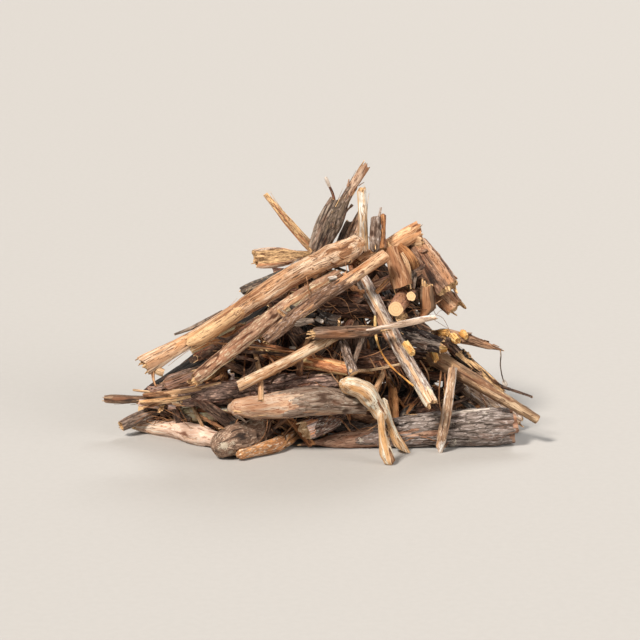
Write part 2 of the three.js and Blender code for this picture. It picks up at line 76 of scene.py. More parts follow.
SEED_SHIFT = 0.37  # metres along the patterns from one seed to the next
LITTER_SEED = 71
TWIG_SEEDS, HAIR_SEEDS, SCRAP_SEEDS = 200, 800, 1300  # the first of each sort
MOST_TRIES = 12000  # for one sort of litter
SKY_WAYS = 26  # directions in which a gap is looked at
SKY_TURN = 2.4  # radians from one of them to the next
SKY_REACH = 0.25  # metres
HAIR_OPEN = 0.46  # the most open that a gap with a root hair may be

Colour = tuple[float, float, float, float]
Values = np.ndarray
Sockets = dict[str, bpy.types.NodeSocket]
Results = Sequence[bpy.types.NodeSocket]


def tone(code: str) -> Colour:
    """Turns a display colour into the linear one that shaders use.

    Args:
        code: Six hexadecimal digits, such as "C79A6E".

    Returns:
        The colour as linear red, green and blue, and an alpha of 1.
    """
    parts = [int(code[i : i + 2], 16) / 255 for i in (0, 2, 4)]
    linear = [c / 12.92 if c <= 0.04045 else ((c + 0.055) / 1.055) ** 2.4 for c in parts]
    return linear[0], linear[1], linear[2], 1.0


def step_between(value: Values, low: float, high: float) -> Values:
    """A smooth step from 0 at `low` to 1 at `high`."""
    x = np.clip((value - low) / (high - low), 0, 1)
    return x * x * (3 - 2 * x)


def deselect_all() -> None:
    """Clears the selection, which the frame's nodes are in after loading."""
    for item in bpy.context.selected_objects:
        item.select_set(False)


class Noise:
    """Smooth random values in space, the same at every run."""

    @staticmethod
    def lattice(cells: Values, seed: int) -> Values:
        """A number from 0 to 1 for each cell of a cubic lattice.

        Args:
            cells: Whole numbers, n by 3.
            seed: Which of many unlike patterns to give.

        Returns:
            n numbers.
        """
        n = cells.astype(np.int64)
        mixed = (n[:, 0] * 73856093) ^ (n[:, 1] * 19349663) ^ (n[:, 2] * 83492791)
        mixed = (mixed ^ (seed * 2654435761)) & 0xFFFFFFFF
        mixed = ((mixed ^ (mixed >> 13)) * 1274126177) & 0xFFFFFFFF
        mixed ^= mixed >> 16
        return (mixed & 0xFFFFFF) / float(0xFFFFFF)

    @classmethod
    def value(cls, where: Values, seed: int) -> Values:
        """Values from 0 to 1 that run smoothly from each lattice cell to the next."""
        base = np.floor(where)
        part = where - base
        part = part * part * (3 - 2 * part)
        total = np.zeros(len(where))
        for corner in itertools.product((0, 1), repeat=3):
            weight = np.ones(len(where))
            for axis, far in enumerate(corner):
                weight = weight * (part[:, axis] if far else 1 - part[:, axis])
            total += weight * cls.lattice(base + corner, seed)
        return total

    @classmethod
    def layered(cls, where: Values, seed: int, layers: int = 3) -> Values:
        """Noise at ever finer scales, each half as strong as the last, from 0 to 1."""
        total, strength = np.zeros(len(where)), 0.0
        for layer in range(layers):
            share = 0.5**layer
            total += share * cls.value(where * 2.03**layer, seed + 31 * layer)
            strength += share
        return total / strength


# Shader trees


class Tree:
    """A node tree, with short ways to add nodes and join them."""

    def __init__(self, tree: bpy.types.NodeTree) -> None:
        """Takes an empty node tree."""
        self.tree = tree

    def feed(self, socket: bpy.types.NodeSocket, value: object) -> None:
        """Joins a socket to another, or sets its own value."""
        if isinstance(value, bpy.types.NodeSocket):
            self.tree.links.new(value, socket)
        else:
            socket.default_value = value

    def add(self, kind: str, settings: dict | None = None, **inputs: object) -> bpy.types.Node:
        """Adds a node.

        Args:
            kind: The node's type, without its "ShaderNode" start.
            settings: Attributes to set on the node.
            inputs: Values or sockets for its inputs, by name, with _ for a space.

        Returns:
            The node.
        """
        node = self.tree.nodes.new("ShaderNode" + kind)
        for name, value in (settings or {}).items():
            setattr(node, name, value)
        for name, value in inputs.items():
            self.feed(node.inputs[name.replace("_", " ")], value)
        return node

    def math(self, operation: str, *values: object) -> bpy.types.NodeSocket:
        """The result of a sum on numbers or sockets."""
        node = self.add("Math", {"operation": operation})
        for socket, value in zip(node.inputs, values):
            self.feed(socket, value)
        return node.outputs[0]

    def vector(self, operation: str, *values: object) -> bpy.types.NodeSocket:
        """The result of a sum on vectors."""
        node = self.add("VectorMath", {"operation": operation})
        for socket, value in zip(node.inputs, values):
            self.feed(socket, value)
        return node.outputs["Value" if operation == "LENGTH" else "Vector"]

    def mix(self, share: object, a: object, b: object, blend: str = "MIX") -> bpy.types.NodeSocket:
        """One colour mixed into another, by `share`."""
        node = self.add("Mix", {"data_type": "RGBA", "blend_type": blend})
        for index, value in ((0, share), (6, a), (7, b)):
            self.feed(node.inputs[index], value)
        return node.outputs[2]

    def noise(self, vector: object, scale: float, detail: float = 3.0, rough: float = 0.55):
        """The value of a noise texture."""
        node = self.add("TexNoise", Vector=vector, Scale=scale, Detail=detail, Roughness=rough)
        return node.outputs[0]

    def span(self, value: object, low: float, high: float, start: float = 0.0, end: float = 1.0):
        """A smooth step of a value, from `start` at `low` to `end` at `high`."""
        node = self.add("MapRange", {"interpolation_type": "SMOOTHSTEP"})
        for socket, item in zip(node.inputs, (value, low, high, start, end)):
            self.feed(socket, item)
        return node.outputs[0]

    def stretched(self, vector: object, scale: object, stretch: object) -> bpy.types.NodeSocket:
        """A vector scaled, and less so along a stick, so that patterns run long there."""
        along = self.math("DIVIDE", scale, stretch)
        scales = self.add("CombineXYZ", X=scale, Y=scale, Z=along).outputs[0]
        return self.vector("MULTIPLY", vector, scales)


class Effect:
    """A shader node group that several finishes share."""

    made: ClassVar[dict[str, bpy.types.NodeTree]] = {}

    @classmethod
    def group(
        cls,
        name: str,
        inputs: dict[str, float | None],
        outputs: Sequence[str],
        build: Callable[[Tree, Sockets], Results],
    ) -> bpy.types.NodeTree:
        """Builds a node group once.

        Args:
            name: The group's name.
            inputs: Input names with their first values; None marks a vector.
            outputs: The names of its outputs, which are all single values.
            build: Makes the inside from the tree and its input sockets, and returns the results.

        Returns:
            The group's node tree.
        """
        if name not in cls.made:
            tree = bpy.data.node_groups.new(name, "ShaderNodeTree")
            for key, first in inputs.items():
                kind = "NodeSocketVector" if first is None else "NodeSocketFloat"
                socket = tree.interface.new_socket(name=key, in_out="INPUT", socket_type=kind)
                if first is not None:
                    socket.default_value = first
            for key in outputs:
                tree.interface.new_socket(name=key, in_out="OUTPUT", socket_type="NodeSocketFloat")
            entry = tree.nodes.new("NodeGroupInput")
            leave = tree.nodes.new("NodeGroupOutput")
            results = build(Tree(tree), {key: entry.outputs[key] for key in inputs})
            for key, result in zip(outputs, results):
                tree.links.new(result, leave.inputs[key])
            cls.made[name] = tree
        return cls.made[name]

    @staticmethod
    def place(tree: Tree, group: bpy.types.NodeTree, **inputs: object) -> bpy.types.NodeOutputs:
        """Puts a group into a material's tree, with its own values."""
        node = tree.add("Group", {"node_tree": group})
        for name, value in inputs.items():
            tree.feed(node.inputs[name.replace("_", " ")], value)
        return node.outputs

    @classmethod
    def grain(cls) -> bpy.types.NodeTree:
        """Long lines of wood grain: Broad ones, Fine ones, and Fleck, the short dark pores."""

        def build(t: Tree, i: Sockets) -> Results:
            """Stretches the lines and lets them wander."""
            run = t.stretched(i["Vector"], i["Scale"], i["Stretch"])
            bend = t.noise(t.vector("SCALE", i["Vector"]), 120.0, 1.0)
            bend = t.math("MULTIPLY", t.math("SUBTRACT", bend, 0.5), i["Wander"])
            run = t.vector("ADD", run, t.add("CombineXYZ", X=bend, Y=bend, Z=0.0).outputs[0])
            fleck = t.span(t.noise(run, 5.0, 2.0), 0.68, 0.76)
            return t.noise(run, 0.7, 3.0), t.noise(run, 2.6, 4.0, 0.65), fleck

        values = {"Vector": None, "Scale": 900.0, "Stretch": 14.0, "Wander": 1.5}
        return cls.group("long_grain", values, ("Broad", "Fine", "Fleck"), build)

    @classmethod
    def furrows(cls) -> bpy.types.NodeTree:
        """Cracks that part bark into long plates: Crack is 1 in one, Plate differs by plate."""

        def build(t: Tree, i: Sockets) -> Results:
            """Parts the bark into long cells and marks their edges."""
            run = t.stretched(i["Vector"], i["Scale"], i["Stretch"])
            wobble = t.add("TexNoise", Vector=run, Scale=1.7, Detail=3.0).outputs[1]
            run = t.vector("ADD", run, t.vector("SCALE", t.vector("SUBTRACT", wobble, (0.5,) * 3)))
            edge = t.add("TexVoronoi", {"feature": "DISTANCE_TO_EDGE"}, Vector=run, Scale=1.0)
            cell = t.add("TexVoronoi", Vector=run, Scale=1.0)
            shade = t.add("SeparateColor", Color=cell.outputs["Color"]).outputs[0]
            crack = t.math("SUBTRACT", 1.0, t.span(edge.outputs["Distance"], 0.0, i["Width"]))
            return crack, shade

        values = {"Vector": None, "Scale": 300.0, "Stretch": 5.0, "Width": 0.12}
        return cls.group("bark_furrows", values, ("Crack", "Plate"), build)

    @classmethod
    def lichen(cls) -> bpy.types.NodeTree:
        """Pale crusts in scattered patches with broken edges."""

        def build(t: Tree, i: Sockets) -> Results:
            """Adds a crumbly edge to soft patches."""
            patch = t.noise(i["Vector"], 110.0, 2.0)
            crumb = t.noise(i["Vector"], 1500.0, 3.0, 0.7)
            seen = t.math("ADD", patch, t.math("MULTIPLY", crumb, 0.55))
            edge = t.math("SUBTRACT", 1.12, t.math("MULTIPLY", i["Amount"], 0.4))
            past = t.math("SUBTRACT", seen, edge)
            return (t.span(past, 0.0, 0.05),)

        return cls.group("lichen_crust", {"Vector": None, "Amount": 0.4}, ("Mask",), build)

    @classmethod
    def specks(cls) -> bpy.types.NodeTree:
        """Small marks: Dot for scattered pores, and Flake for short flecks that run along."""

        def build(t: Tree, i: Sockets) -> Results:
            """Draws a dot in some cells, and flecks in stretched noise."""
            cell = t.add("TexVoronoi", Vector=i["Vector"], Scale=210.0)
            chance = t.add("SeparateColor", Color=cell.outputs["Color"]).outputs[0]
            size = t.math("MULTIPLY", t.math("SUBTRACT", chance, 0.45), i["Size"])
            dot = t.math("LESS_THAN", cell.outputs["Distance"], size)
            run = t.stretched(i["Vector"], i["Scale"], 3.2)
            flake = t.span(t.noise(run, 1.0, 3.0, 0.6), 0.53, 0.6)
            return dot, flake

        values = {"Vector": None, "Size": 0.3, "Scale": 950.0}
        return cls.group("specks", values, ("Dot", "Flake"), build)

    @classmethod
    def rings(cls) -> bpy.types.NodeTree:
        """The end of a sawn stick: Ring for growth rings, Ray for the cracks that run outwards."""

        def build(t: Tree, i: Sockets) -> Results:
            """Measures out from the middle for the rings, and round it for the rays."""
            flat = t.vector("MULTIPLY", i["Vector"], (1.0, 1.0, 0.0))
            out = t.vector("LENGTH", flat)
            waver = t.math("MULTIPLY", t.noise(flat, 260.0, 2.0), 0.0016)
            wave = t.math("DIVIDE", t.math("ADD", out, waver), i["Spacing"])
            ring = t.math("PINGPONG", wave, 1.0)
            parts = t.add("SeparateXYZ", Vector=flat).outputs
            angle = t.math("ARCTAN2", parts[1], parts[0])
            ray = t.add("CombineXYZ", X=angle, Y=t.math("MULTIPLY", out, 30.0), Z=3.7).outputs[0]
            return ring, t.span(t.noise(ray, 5.0, 1.0), 0.66, 0.74)

        values = {"Vector": None, "Spacing": 0.0008}
        return cls.group("end_rings", values, ("Ring", "Ray"), build)

    @classmethod
    def grime(cls) -> bpy.types.NodeTree:
        """Painted shade and soil: low in a surface's hollows, where shade is painted, and in soil clouds; 1
        on the rest.
        """

        def build(t: Tree, i: Sockets) -> Results:
            """Darkens the hollows as painted shade and, in soil clouds, the rest."""
            cloud = t.noise(i["Vector"], 60.0, 3.0)
            deep = t.span(i["Relief"], 0.0, 0.75)
            soil = t.span(cloud, 0.35, 0.7, 0.55, 1.0)
            shade = t.math("MULTIPLY", t.math("ADD", t.math("MULTIPLY", deep, 0.75), 0.25), soil)
            return (shade,)

        return cls.group("grime", {"Vector": None, "Relief": 1.0}, ("Clean",), build)


# Finishes


def new_material(name: str) -> tuple[bpy.types.Material, Tree, bpy.types.Node, bpy.types.NodeSocket]:
    """Starts a material.

    Args:
        name: Its name.

    Returns:
        The material, its tree, its shader, and each point's place in the straight stick.
    """
    material = bpy.data.materials.new(name)
    material.use_nodes = True
    t = Tree(material.node_tree)
    place = t.add("Attribute", {"attribute_name": "grain"}).outputs["Vector"]
    return material, t, t.tree.nodes["Principled BSDF"], place


@dataclass(frozen=True)
class Relief:
    """The shape of a stick's surface, in metres."""

    cover: float = 0.7  # share of the skin that still has its bark
    bark: float = 0.35 * MM  # how far that bark stands out
    furrow: float = 0.5 * MM  # depth of the furrows in it
    gap: float = 3.4 * MM  # from furrow to furrow
    run: float = 26 * MM  # how far a furrow keeps its line
    ribs: float = 0.2 * MM  # height of the ribs of grain
    lumps: float = 0.07  # how much the girth wanders, as a share
    pits: float = 0.12 * MM  # small roughness


class Skin(Enum):
    """Which of a stick's materials a face has."""

    BARK = 0
    SAWN = 1
    TORN = 2


@dataclass(frozen=True)
class TwigFinish:
    """The colours and surface of one kind of stick, part bark and part bare wood."""

    slot: str
    wood: tuple[str, str, str]  # dark lines, body, highlights
    # The furrow tone also carries the painted shade in the bark's hollows.
    bark: tuple[str, str, str]  # furrows, plates, weathered crests
    stain: str = "B06F3C"  # what the wood turns to in long patches
    stained: float = 0.35
    streak: str = "A0603A"  # red-brown runs in the bark
    streaks: float = 0.3
    flakes: float = 0.5  # short pale flecks on the bark
    dots: float = 0.7  # dark pores in the wood
    lichens: float = 0.0
    lichen: str = "D2CBBC"
    cracks: float = 0.6
    grain: float = 620.0
    stretch: float = 17.0
    rough: float = 0.82
    bump: float = 0.8
    relief: Relief = field(default_factory=Relief)
    torn: "TornFinish" = field(default_factory=lambda: TornFinish())

    made: ClassVar[dict["TwigFinish", bpy.types.Material]] = {}

    def dress(self) -> bpy.types.Material:
        """The skin material, made once for all the sticks that share the finish.

        Returns:
            The material, which reads the mesh's grain, bark and relief attributes.
        """
        if self in self.made:
            return self.made[self]
        material, t, shader, place = new_material(f"{self.slot}_{len(self.made)}")
        self.made[self] = material
        bark = t.add("Attribute", {"attribute_name": "bark"}).outputs["Fac"]
        relief = t.add("Attribute", {"attribute_name": "relief"}).outputs["Fac"]
        grain = Effect.place(t, Effect.grain(), Vector=place, Scale=self.grain, Stretch=self.stretch)
        furrow = Effect.place(t, Effect.furrows(), Vector=place, Scale=1.6 / self.relief.gap)
        speck = Effect.place(t, Effect.specks(), Vector=place)
        crust = Effect.place(t, Effect.lichen(), Vector=place, Amount=self.lichens)["Mask"]
        lit_and_clean = Effect.place(t, Effect.grime(), Vector=place, Relief=relief)["Clean"]
        wood = self._wood(t, place, grain, speck)
        shell = self._shell(t, place, grain, furrow, speck, relief)
        shell = t.mix(crust, shell, tone(self.lichen))
        edge = t.math("ADD", bark, t.math("MULTIPLY", grain["Fine"], 0.7))
        seen = t.mix(t.span(edge, 0.75, 0.9), wood, shell)
        # Multiplies in the painted shade of the hollows and the soil clouds, with A08E80 at their darkest.
        seen = t.mix(1.0, seen, t.mix(lit_and_clean, tone("A08E80"), (1.0, 1.0, 1.0, 1.0)), "MULTIPLY")
        t.feed(shader.inputs["Base Color"], seen)
        gloss = t.span(grain["Fine"], 0.2, 0.8, self.rough + 0.1, self.rough - 0.14)
        t.feed(shader.inputs["Roughness"], gloss)
        shader.inputs["Specular IOR Level"].default_value = 0.35
        rise = t.math("SUBTRACT", grain["Fine"], t.math("MULTIPLY", furrow["Crack"], 0.6 * self.cracks))
        rise = t.math("ADD", rise, t.math("MULTIPLY", speck["Flake"], 0.25 * self.flakes))
        rise = t.math("ADD", rise, t.math("MULTIPLY", t.noise(place, 2000.0, 3.0), 0.4))
        bump = t.add("Bump", Strength=self.bump, Distance=0.5 * MM, Height=rise)
        t.feed(shader.inputs["Normal"], bump.outputs[0])
        return material

    def _wood(
        self,
        t: Tree,
        place: bpy.types.NodeSocket,
        grain: bpy.types.NodeOutputs,
        speck: bpy.types.NodeOutputs,
    ) -> bpy.types.NodeSocket:
        """The colour of the bare wood."""
        dark, body, light = (tone(c) for c in self.wood)
        seen = t.mix(t.span(grain["Broad"], 0.4, 0.62), body, light)
        patch = t.noise(t.stretched(place, 1.0, 4.0), 130.0, 3.0)
        stain = t.math("MULTIPLY", t.span(patch, 0.48, 0.66), self.stained)
        seen = t.mix(stain, seen, tone(self.stain))
        line = t.span(grain["Fine"], 0.39, 0.48, 0.9, 0.0)
        seen = t.mix(line, seen, dark)
        seen = t.mix(t.math("MULTIPLY", speck["Dot"], self.dots), seen, dark)
        return t.mix(t.math("MULTIPLY", grain["Fleck"], 0.7), seen, dark)

    def _shell(
        self,
        t: Tree,
        place: bpy.types.NodeSocket,
        grain: bpy.types.NodeOutputs,
        furrow: bpy.types.NodeOutputs,
        speck: bpy.types.NodeOutputs,
        relief: bpy.types.NodeSocket,
    ) -> bpy.types.NodeSocket:
        """The colour of the bark."""
        deep, plate, crest = (tone(c) for c in self.bark)
        # Painted shade: the bark goes towards its furrow tone where the relief is low, in the hollows, over
        # the grain's own light and dark.
        height = t.math("ADD", t.math("MULTIPLY", grain["Fine"], 0.7), t.math("MULTIPLY", relief, 0.35))
        seen = t.mix(t.span(height, 0.36, 0.62), deep, plate)
        shade = t.span(furrow["Plate"], 0.0, 1.0, 0.0, 0.35)
        seen = t.mix(shade, seen, deep)
        red = t.noise(t.stretched(place, 1.0, 5.0), 190.0, 3.0)
        seen = t.mix(t.span(red, 0.5, 0.64, 0.0, self.streaks), seen, tone(self.streak))
        worn = t.math("MULTIPLY", speck["Flake"], t.span(relief, 0.35, 0.9))
        seen = t.mix(t.math("MULTIPLY", worn, self.flakes), seen, crest)
        return t.mix(t.math("MULTIPLY", furrow["Crack"], self.cracks), seen, deep)


@dataclass(frozen=True)
class SawnFinish:
    """The pale face of a cut end, with its rings."""

    light: str = "D6B488"
    dark: str = "A67C54"

    made: ClassVar[list[bpy.types.Material]] = []

    def dress(self) -> bpy.types.Material:
        """The cut end's material, made once."""
        if self.made:
            return self.made[0]
        material, t, shader, place = new_material("sawn_end")
        self.made.append(material)
        rings = Effect.place(t, Effect.rings(), Vector=place)
        seen = t.mix(t.span(rings["Ring"], 0.3, 0.9, 0.0, 0.3), tone(self.light), tone(self.dark))
        seen = t.mix(t.math("MULTIPLY", rings["Ray"], 0.6), seen, tone(self.dark))
        fine = t.noise(place, 1800.0, 4.0, 0.7)
        seen = t.mix(t.span(fine, 0.45, 0.75, 0.0, 0.45), seen, tone(self.dark))
        t.feed(shader.inputs["Base Color"], seen)
        shader.inputs["Roughness"].default_value = 0.8
        rise = t.math("SUBTRACT", fine, t.math("MULTIPLY", rings["Ray"], 0.8))
        bump = t.add("Bump", Strength=0.6, Distance=0.25 * MM, Height=rise)
        t.feed(shader.inputs["Normal"], bump.outputs[0])
        return material


@dataclass(frozen=True)
class TornFinish:
    """Wood snapped across its grain: bundles of fibre, with painted shade in the sunken gaps between them.
    """

    light: str = "E3BC8A"
    # The fibres' dark tone, which also serves as the painted shade in the gaps.
    dark: str = "6B4A30"

    made: ClassVar[dict["TornFinish", bpy.types.Material]] = {}

    def dress(self) -> bpy.types.Material:
        """The snapped wood's material, made once for each pair of tones."""
        if self in self.made:
            return self.made[self]
        material, t, shader, place = new_material(f"torn_wood_{len(self.made)}")
        self.made[self] = material
        relief = t.add("Attribute", {"attribute_name": "relief"}).outputs["Fac"]
        run = Effect.place(t, Effect.grain(), Vector=place, Scale=1300.0, Stretch=9.0)
        bundle = t.noise(t.stretched(place, 1.0, 6.0), 900.0, 3.0, 0.6)
        shade = t.math("ADD", t.math("MULTIPLY", run["Fine"], 0.55), t.math("MULTIPLY", bundle, 0.45))
        seen = t.mix(t.span(shade, 0.4, 0.6), tone(self.dark), tone(self.light))
        # Painted shade: the sunken fibres, where the relief is low, go to the dark tone.
        seen = t.mix(t.span(relief, 0.1, 0.8, 0.7, 0.0), seen, tone(self.dark))
        t.feed(shader.inputs["Base Color"], seen)
        shader.inputs["Roughness"].default_value = 0.88
        bump = t.add("Bump", Strength=0.8, Distance=0.4 * MM, Height=shade)
        t.feed(shader.inputs["Normal"], bump.outputs[0])
        return material


PEELED = TwigFinish(
    slot="peeled_wood",
    wood=("8C5A36", "CE9F70", "EBCBA0"),
    bark=("5A3A28", "A87A55", "C9A27C"),
    relief=Relief(cover=0.16, bark=0.25 * MM, furrow=0.2 * MM, ribs=0.22 * MM),
)
TAN = TwigFinish(
    slot="tan_bark",
    wood=("7E4F30", "BD8453", "E0B583"),
    bark=("4F3426", "A47C5E", "CBA684"),
    streaks=0.35,
    cracks=0.5,
    relief=Relief(cover=0.72, furrow=0.35 * MM),
)
GREY = TwigFinish(
    slot="grey_bark",
    wood=("6E4A32", "A9794F", "CFA678"),
    bark=("2E2621", "85766A", "B5A698"),
    streaks=0.18,
    lichens=0.35,
    cracks=0.8,
    relief=Relief(cover=0.88, bark=0.5 * MM, furrow=0.7 * MM),
)
DARK = TwigFinish(
    slot="dark_bark",
    wood=("4A2C1C", "8F5B38", "B98658"),
    bark=("1D1512", "5E4A3E", "8C7768"),
    streak="8A4A2A",
    streaks=0.45,
    cracks=0.9,
    relief=Relief(cover=0.85, bark=0.6 * MM, furrow=0.9 * MM, ribs=0.25 * MM),
)
FIBROUS = TwigFinish(
    slot="red_fibre",
    wood=("4E2D1B", "97643E", "C59262"),
    bark=("33211A", "7A543C", "A98062"),
    streaks=0.5,
    stretch=24.0,
    relief=Relief(cover=0.4, bark=0.3 * MM, ribs=0.4 * MM, run=30 * MM, gap=2.4 * MM),
)
SAWN = SawnFinish()


# Meshes


@dataclass
class Shape:
    """A mesh while it is being made, with the values that its materials read."""

    points: Values
    faces: list[tuple[int, ...]]
    skins: Values  # the material of each face
    grain: Values  # each point's place in the straight stick that the shape was bent from
    bark: Values  # 1 on bark, 0 on bare wood
    relief: Values  # 0 in the hollows, 1 on the crests

    @staticmethod
    def joined(shapes: Sequence["Shape"]) -> "Shape":
        """Several shapes as one."""
        starts = np.cumsum([0] + [len(s.points) for s in shapes])
        faces = [
            tuple(corner + int(start) for corner in face)
            for shape, start in zip(shapes, starts)
            for face in shape.faces
        ]
        return Shape(
            np.concatenate([s.points for s in shapes]),
            faces,
            np.concatenate([s.skins for s in shapes]),
            np.concatenate([s.grain for s in shapes]),
            np.concatenate([s.bark for s in shapes]),
            np.concatenate([s.relief for s in shapes]),
        )

    def build(self, name: str, finish: TwigFinish) -> bpy.types.Object:
        """Makes the object, which rides on the heap.

        Args:
            name: The piece's name.
            finish: Its skin; its ends have the sawn and torn finishes.

        Returns:
            The new object.
        """
        mesh = bpy.data.meshes.new(name)
        self.points[:, 2] = np.maximum(self.points[:, 2], 0)
        mesh.from_pydata(self.points.tolist(), [], self.faces)
        mesh.polygons.foreach_set("material_index", self.skins.astype(np.int32))
        for key, kind, values in (
            ("grain", "FLOAT_VECTOR", self.grain),
            ("bark", "FLOAT", self.bark),
            ("relief", "FLOAT", self.relief),
        ):
            layer = mesh.attributes.new(key, kind, "POINT")
            target = "vector" if kind == "FLOAT_VECTOR" else "value"
            layer.data.foreach_set(target, values.astype(np.float32).ravel())
        for material in (finish.dress(), SAWN.dress(), finish.torn.dress()):
            mesh.materials.append(material)
        piece = bpy.data.objects.new(name, mesh)
        bpy.context.scene.collection.objects.link(piece)
        deselect_all()
        piece.select_set(True)
        bpy.context.view_layer.objects.active = piece
        bpy.ops.object.shade_smooth_by_angle(angle=SMOOTH_ANGLE)
        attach(piece, "root")
        LOG.info("%s: %d faces", name, len(self.faces))
        return piece


class Blank:
    """A turned blank: a closed cylinder in rings, with ringed ends, that pieces are carved from."""

    made: ClassVar[dict[tuple[int, int, int], "Blank"]] = {}

    def __init__(self, sides: int, rings: int, insets: int) -> None:
        """Turns the blank.

        Args:
            sides: Faces round it.
            rings: Cuts along it.
            insets: Rings on each end.
        """
        deselect_all()
        bpy.ops.mesh.primitive_cylinder_add(vertices=sides, radius=1, depth=2, end_fill_type="NGON")
        body = bpy.context.object
        mesh = body.data
        self._select_edges(mesh)
        bpy.ops.object.mode_set(mode="EDIT")
        bpy.ops.mesh.subdivide(number_cuts=rings)
        self._select_ends(mesh)
        bpy.ops.mesh.select_mode(type="FACE")
        for ring in range(insets):
            bpy.ops.mesh.inset(thickness=(0.4 if ring == 0 else 0.8) / insets)
        bpy.ops.mesh.poke()
        bpy.ops.object.mode_set(mode="OBJECT")
        self.points = np.array([v.co for v in mesh.vertices])
        self.faces = [tuple(f.vertices) for f in mesh.polygons]
        self.along = (self.points[:, 2] + 1) / 2
        self.angle = np.arctan2(self.points[:, 1], self.points[:, 0])
        self.out = np.hypot(self.points[:, 0], self.points[:, 1])
        normals = np.array([f.normal.z for f in mesh.polygons])
        self.ends = np.where(np.abs(normals) > END_NORMAL, np.sign(normals), 0).astype(int)
        middles = np.array([f.center for f in mesh.polygons])
        self.face_angle = np.arctan2(middles[:, 1], middles[:, 0])
        bpy.data.objects.remove(body)

    @staticmethod
    def _select_edges(mesh: bpy.types.Mesh) -> None:
        """Selects the edges that run along the cylinder."""
        bpy.ops.object.mode_set(mode="EDIT")
        bpy.ops.mesh.select_mode(type="EDGE")
        bpy.ops.mesh.select_all(action="DESELECT")
        bpy.ops.object.mode_set(mode="OBJECT")
        for edge in mesh.edges:
            low, high = (mesh.vertices[i].co.z for i in edge.vertices)
            edge.select = abs(high - low) > 1

    @staticmethod
    def _select_ends(mesh: bpy.types.Mesh) -> None:
        """Selects the two end faces."""
        bpy.ops.mesh.select_mode(type="FACE")
        bpy.ops.mesh.select_all(action="DESELECT")
        bpy.ops.object.mode_set(mode="OBJECT")
        for face in mesh.polygons:
            face.select = abs(face.normal.z) > END_NORMAL
        bpy.ops.object.mode_set(mode="EDIT")

    @classmethod
    def turned(cls, sides: int, rings: int, insets: int = 4) -> "Blank":
        """A blank of that fineness, made once."""
        key = (sides, rings, insets)
        if key not in cls.made:
            cls.made[key] = cls(*key)
        return cls.made[key]


class Run:
    """A bent line with a girth all along it, which a straight stick is carried onto."""

    RAYS = 32

    def __init__(self, line: Values) -> None:
        """Lays out the line, whose girths are set afterwards.

        Args:
            line: Its points, n by 3.
        """
        steps = np.linalg.norm(np.diff(line, axis=0), axis=1)
        self.length = float(steps.sum())
        self.at = np.concatenate([[0], np.cumsum(steps)]) / self.length
        self.line = line
        self.run = np.gradient(line, self.at, axis=0)
        self.run /= np.linalg.norm(self.run, axis=1)[:, None]
        frames = [self.across(run) for run in self.run]
        self.side = np.array([f[0] for f in frames])
        self.out = np.array([f[1] for f in frames])
        self.girths = np.full((len(line), self.RAYS), 2 * MM)
        self.width = 2 * MM

    @staticmethod
    def across(run: Values) -> tuple[Values, Values]:
        """The two directions across a run: upwards or to the side, and towards the front."""
        facing = np.array([0.0, 0.0, 1.0] if abs(run[1]) > 0.85 else [0.0, -1.0, 0.0])
        side = np.cross(facing, run)
        side /= np.linalg.norm(side)
        return side, np.cross(run, side)

    def _between(self, table: Values, at: Values) -> Values:
        """A table's row for each place along the stick."""
        place = np.interp(at, self.at, np.arange(len(self.at)))
        low = np.minimum(place.astype(int), len(self.at) - 2)
        part = (place - low)[:, None]
        return table[low] * (1 - part) + table[low + 1] * part

    def girth(self, at: Values, angle: Values) -> Values:
        """The stick's half-thickness at places along it and round it."""
        rows = self._between(self.girths, at)
        turn = (angle / TURN % 1) * self.RAYS
        low = turn.astype(int) % self.RAYS
        part = turn - np.floor(turn)
        each = np.arange(len(at))
        return rows[each, low] * (1 - part) + rows[each, (low + 1) % self.RAYS] * part

    def bent(self, at: Values, x: Values, y: Values) -> Values:
        """Carries points of the straight stick onto its real run.

        Args:
            at: How far along, from 0 to 1, or beyond for what stands out past an end.
            x: Metres across it, along its side direction.
            y: Metres across it, towards its front.

        Returns:
            The points in the heap, n by 3.
        """
        inside = np.clip(at, 0, 1)
        beyond = ((at - inside) * self.length)[:, None]
        side, out, run = (self._between(table, inside) for table in (self.side, self.out, self.run))
        return self._between(self.line, inside) + side * x[:, None] + out * y[:, None] + run * beyond

    def spot(self, at: float, turn: float, lift: float = 0.0) -> Values:
        """A point on the skin, or off it.

        Args:
            at: How far along, from 0 to 1.
            turn: How far round, in degrees.
            lift: Metres off the skin.

        Returns:
            The point.
        """
        places, angles = np.array([at]), np.radians([turn])
        size = self.girth(np.clip(places, 0, 1), angles) + lift
        return self.bent(places, np.cos(angles) * size, np.sin(angles) * size)[0]


class Path(Run):
    """The run of a small twig or fibre, through a few points."""

    def __init__(self, points: Sequence[Values], girths: Sequence[float], thin: float = 1.0) -> None:
        """Draws a smooth curve through the points.

        Args:
            points: Two or more points.
            girths: The half-width, from the start to the end, at even steps.
            thin: The thickness as a share of the width.
        """
        knots = np.array(points, dtype=float)
        reach = np.concatenate([[0], np.cumsum(np.linalg.norm(np.diff(knots, axis=0), axis=1))])
        stops = np.linspace(0, reach[-1], int(np.clip(reach[-1] / (1.5 * MM), 4, 60)))
        line = np.stack([np.interp(stops, reach, knots[:, k]) for k in range(3)], 1)
        for _ in range(0 if len(knots) == 2 else 3 * len(line) // len(knots)):
            line[1:-1] = (line[:-2] + 2 * line[1:-1] + line[2:]) / 4
        super().__init__(line)
        sizes = np.interp(self.at, np.linspace(0, 1, len(girths)), girths)
        angles = np.arange(self.RAYS) * TURN / self.RAYS
        oval = thin / np.hypot(thin * np.cos(angles), np.sin(angles))
        self.girths = sizes[:, None] * oval
        self.width = float(np.mean(sizes))


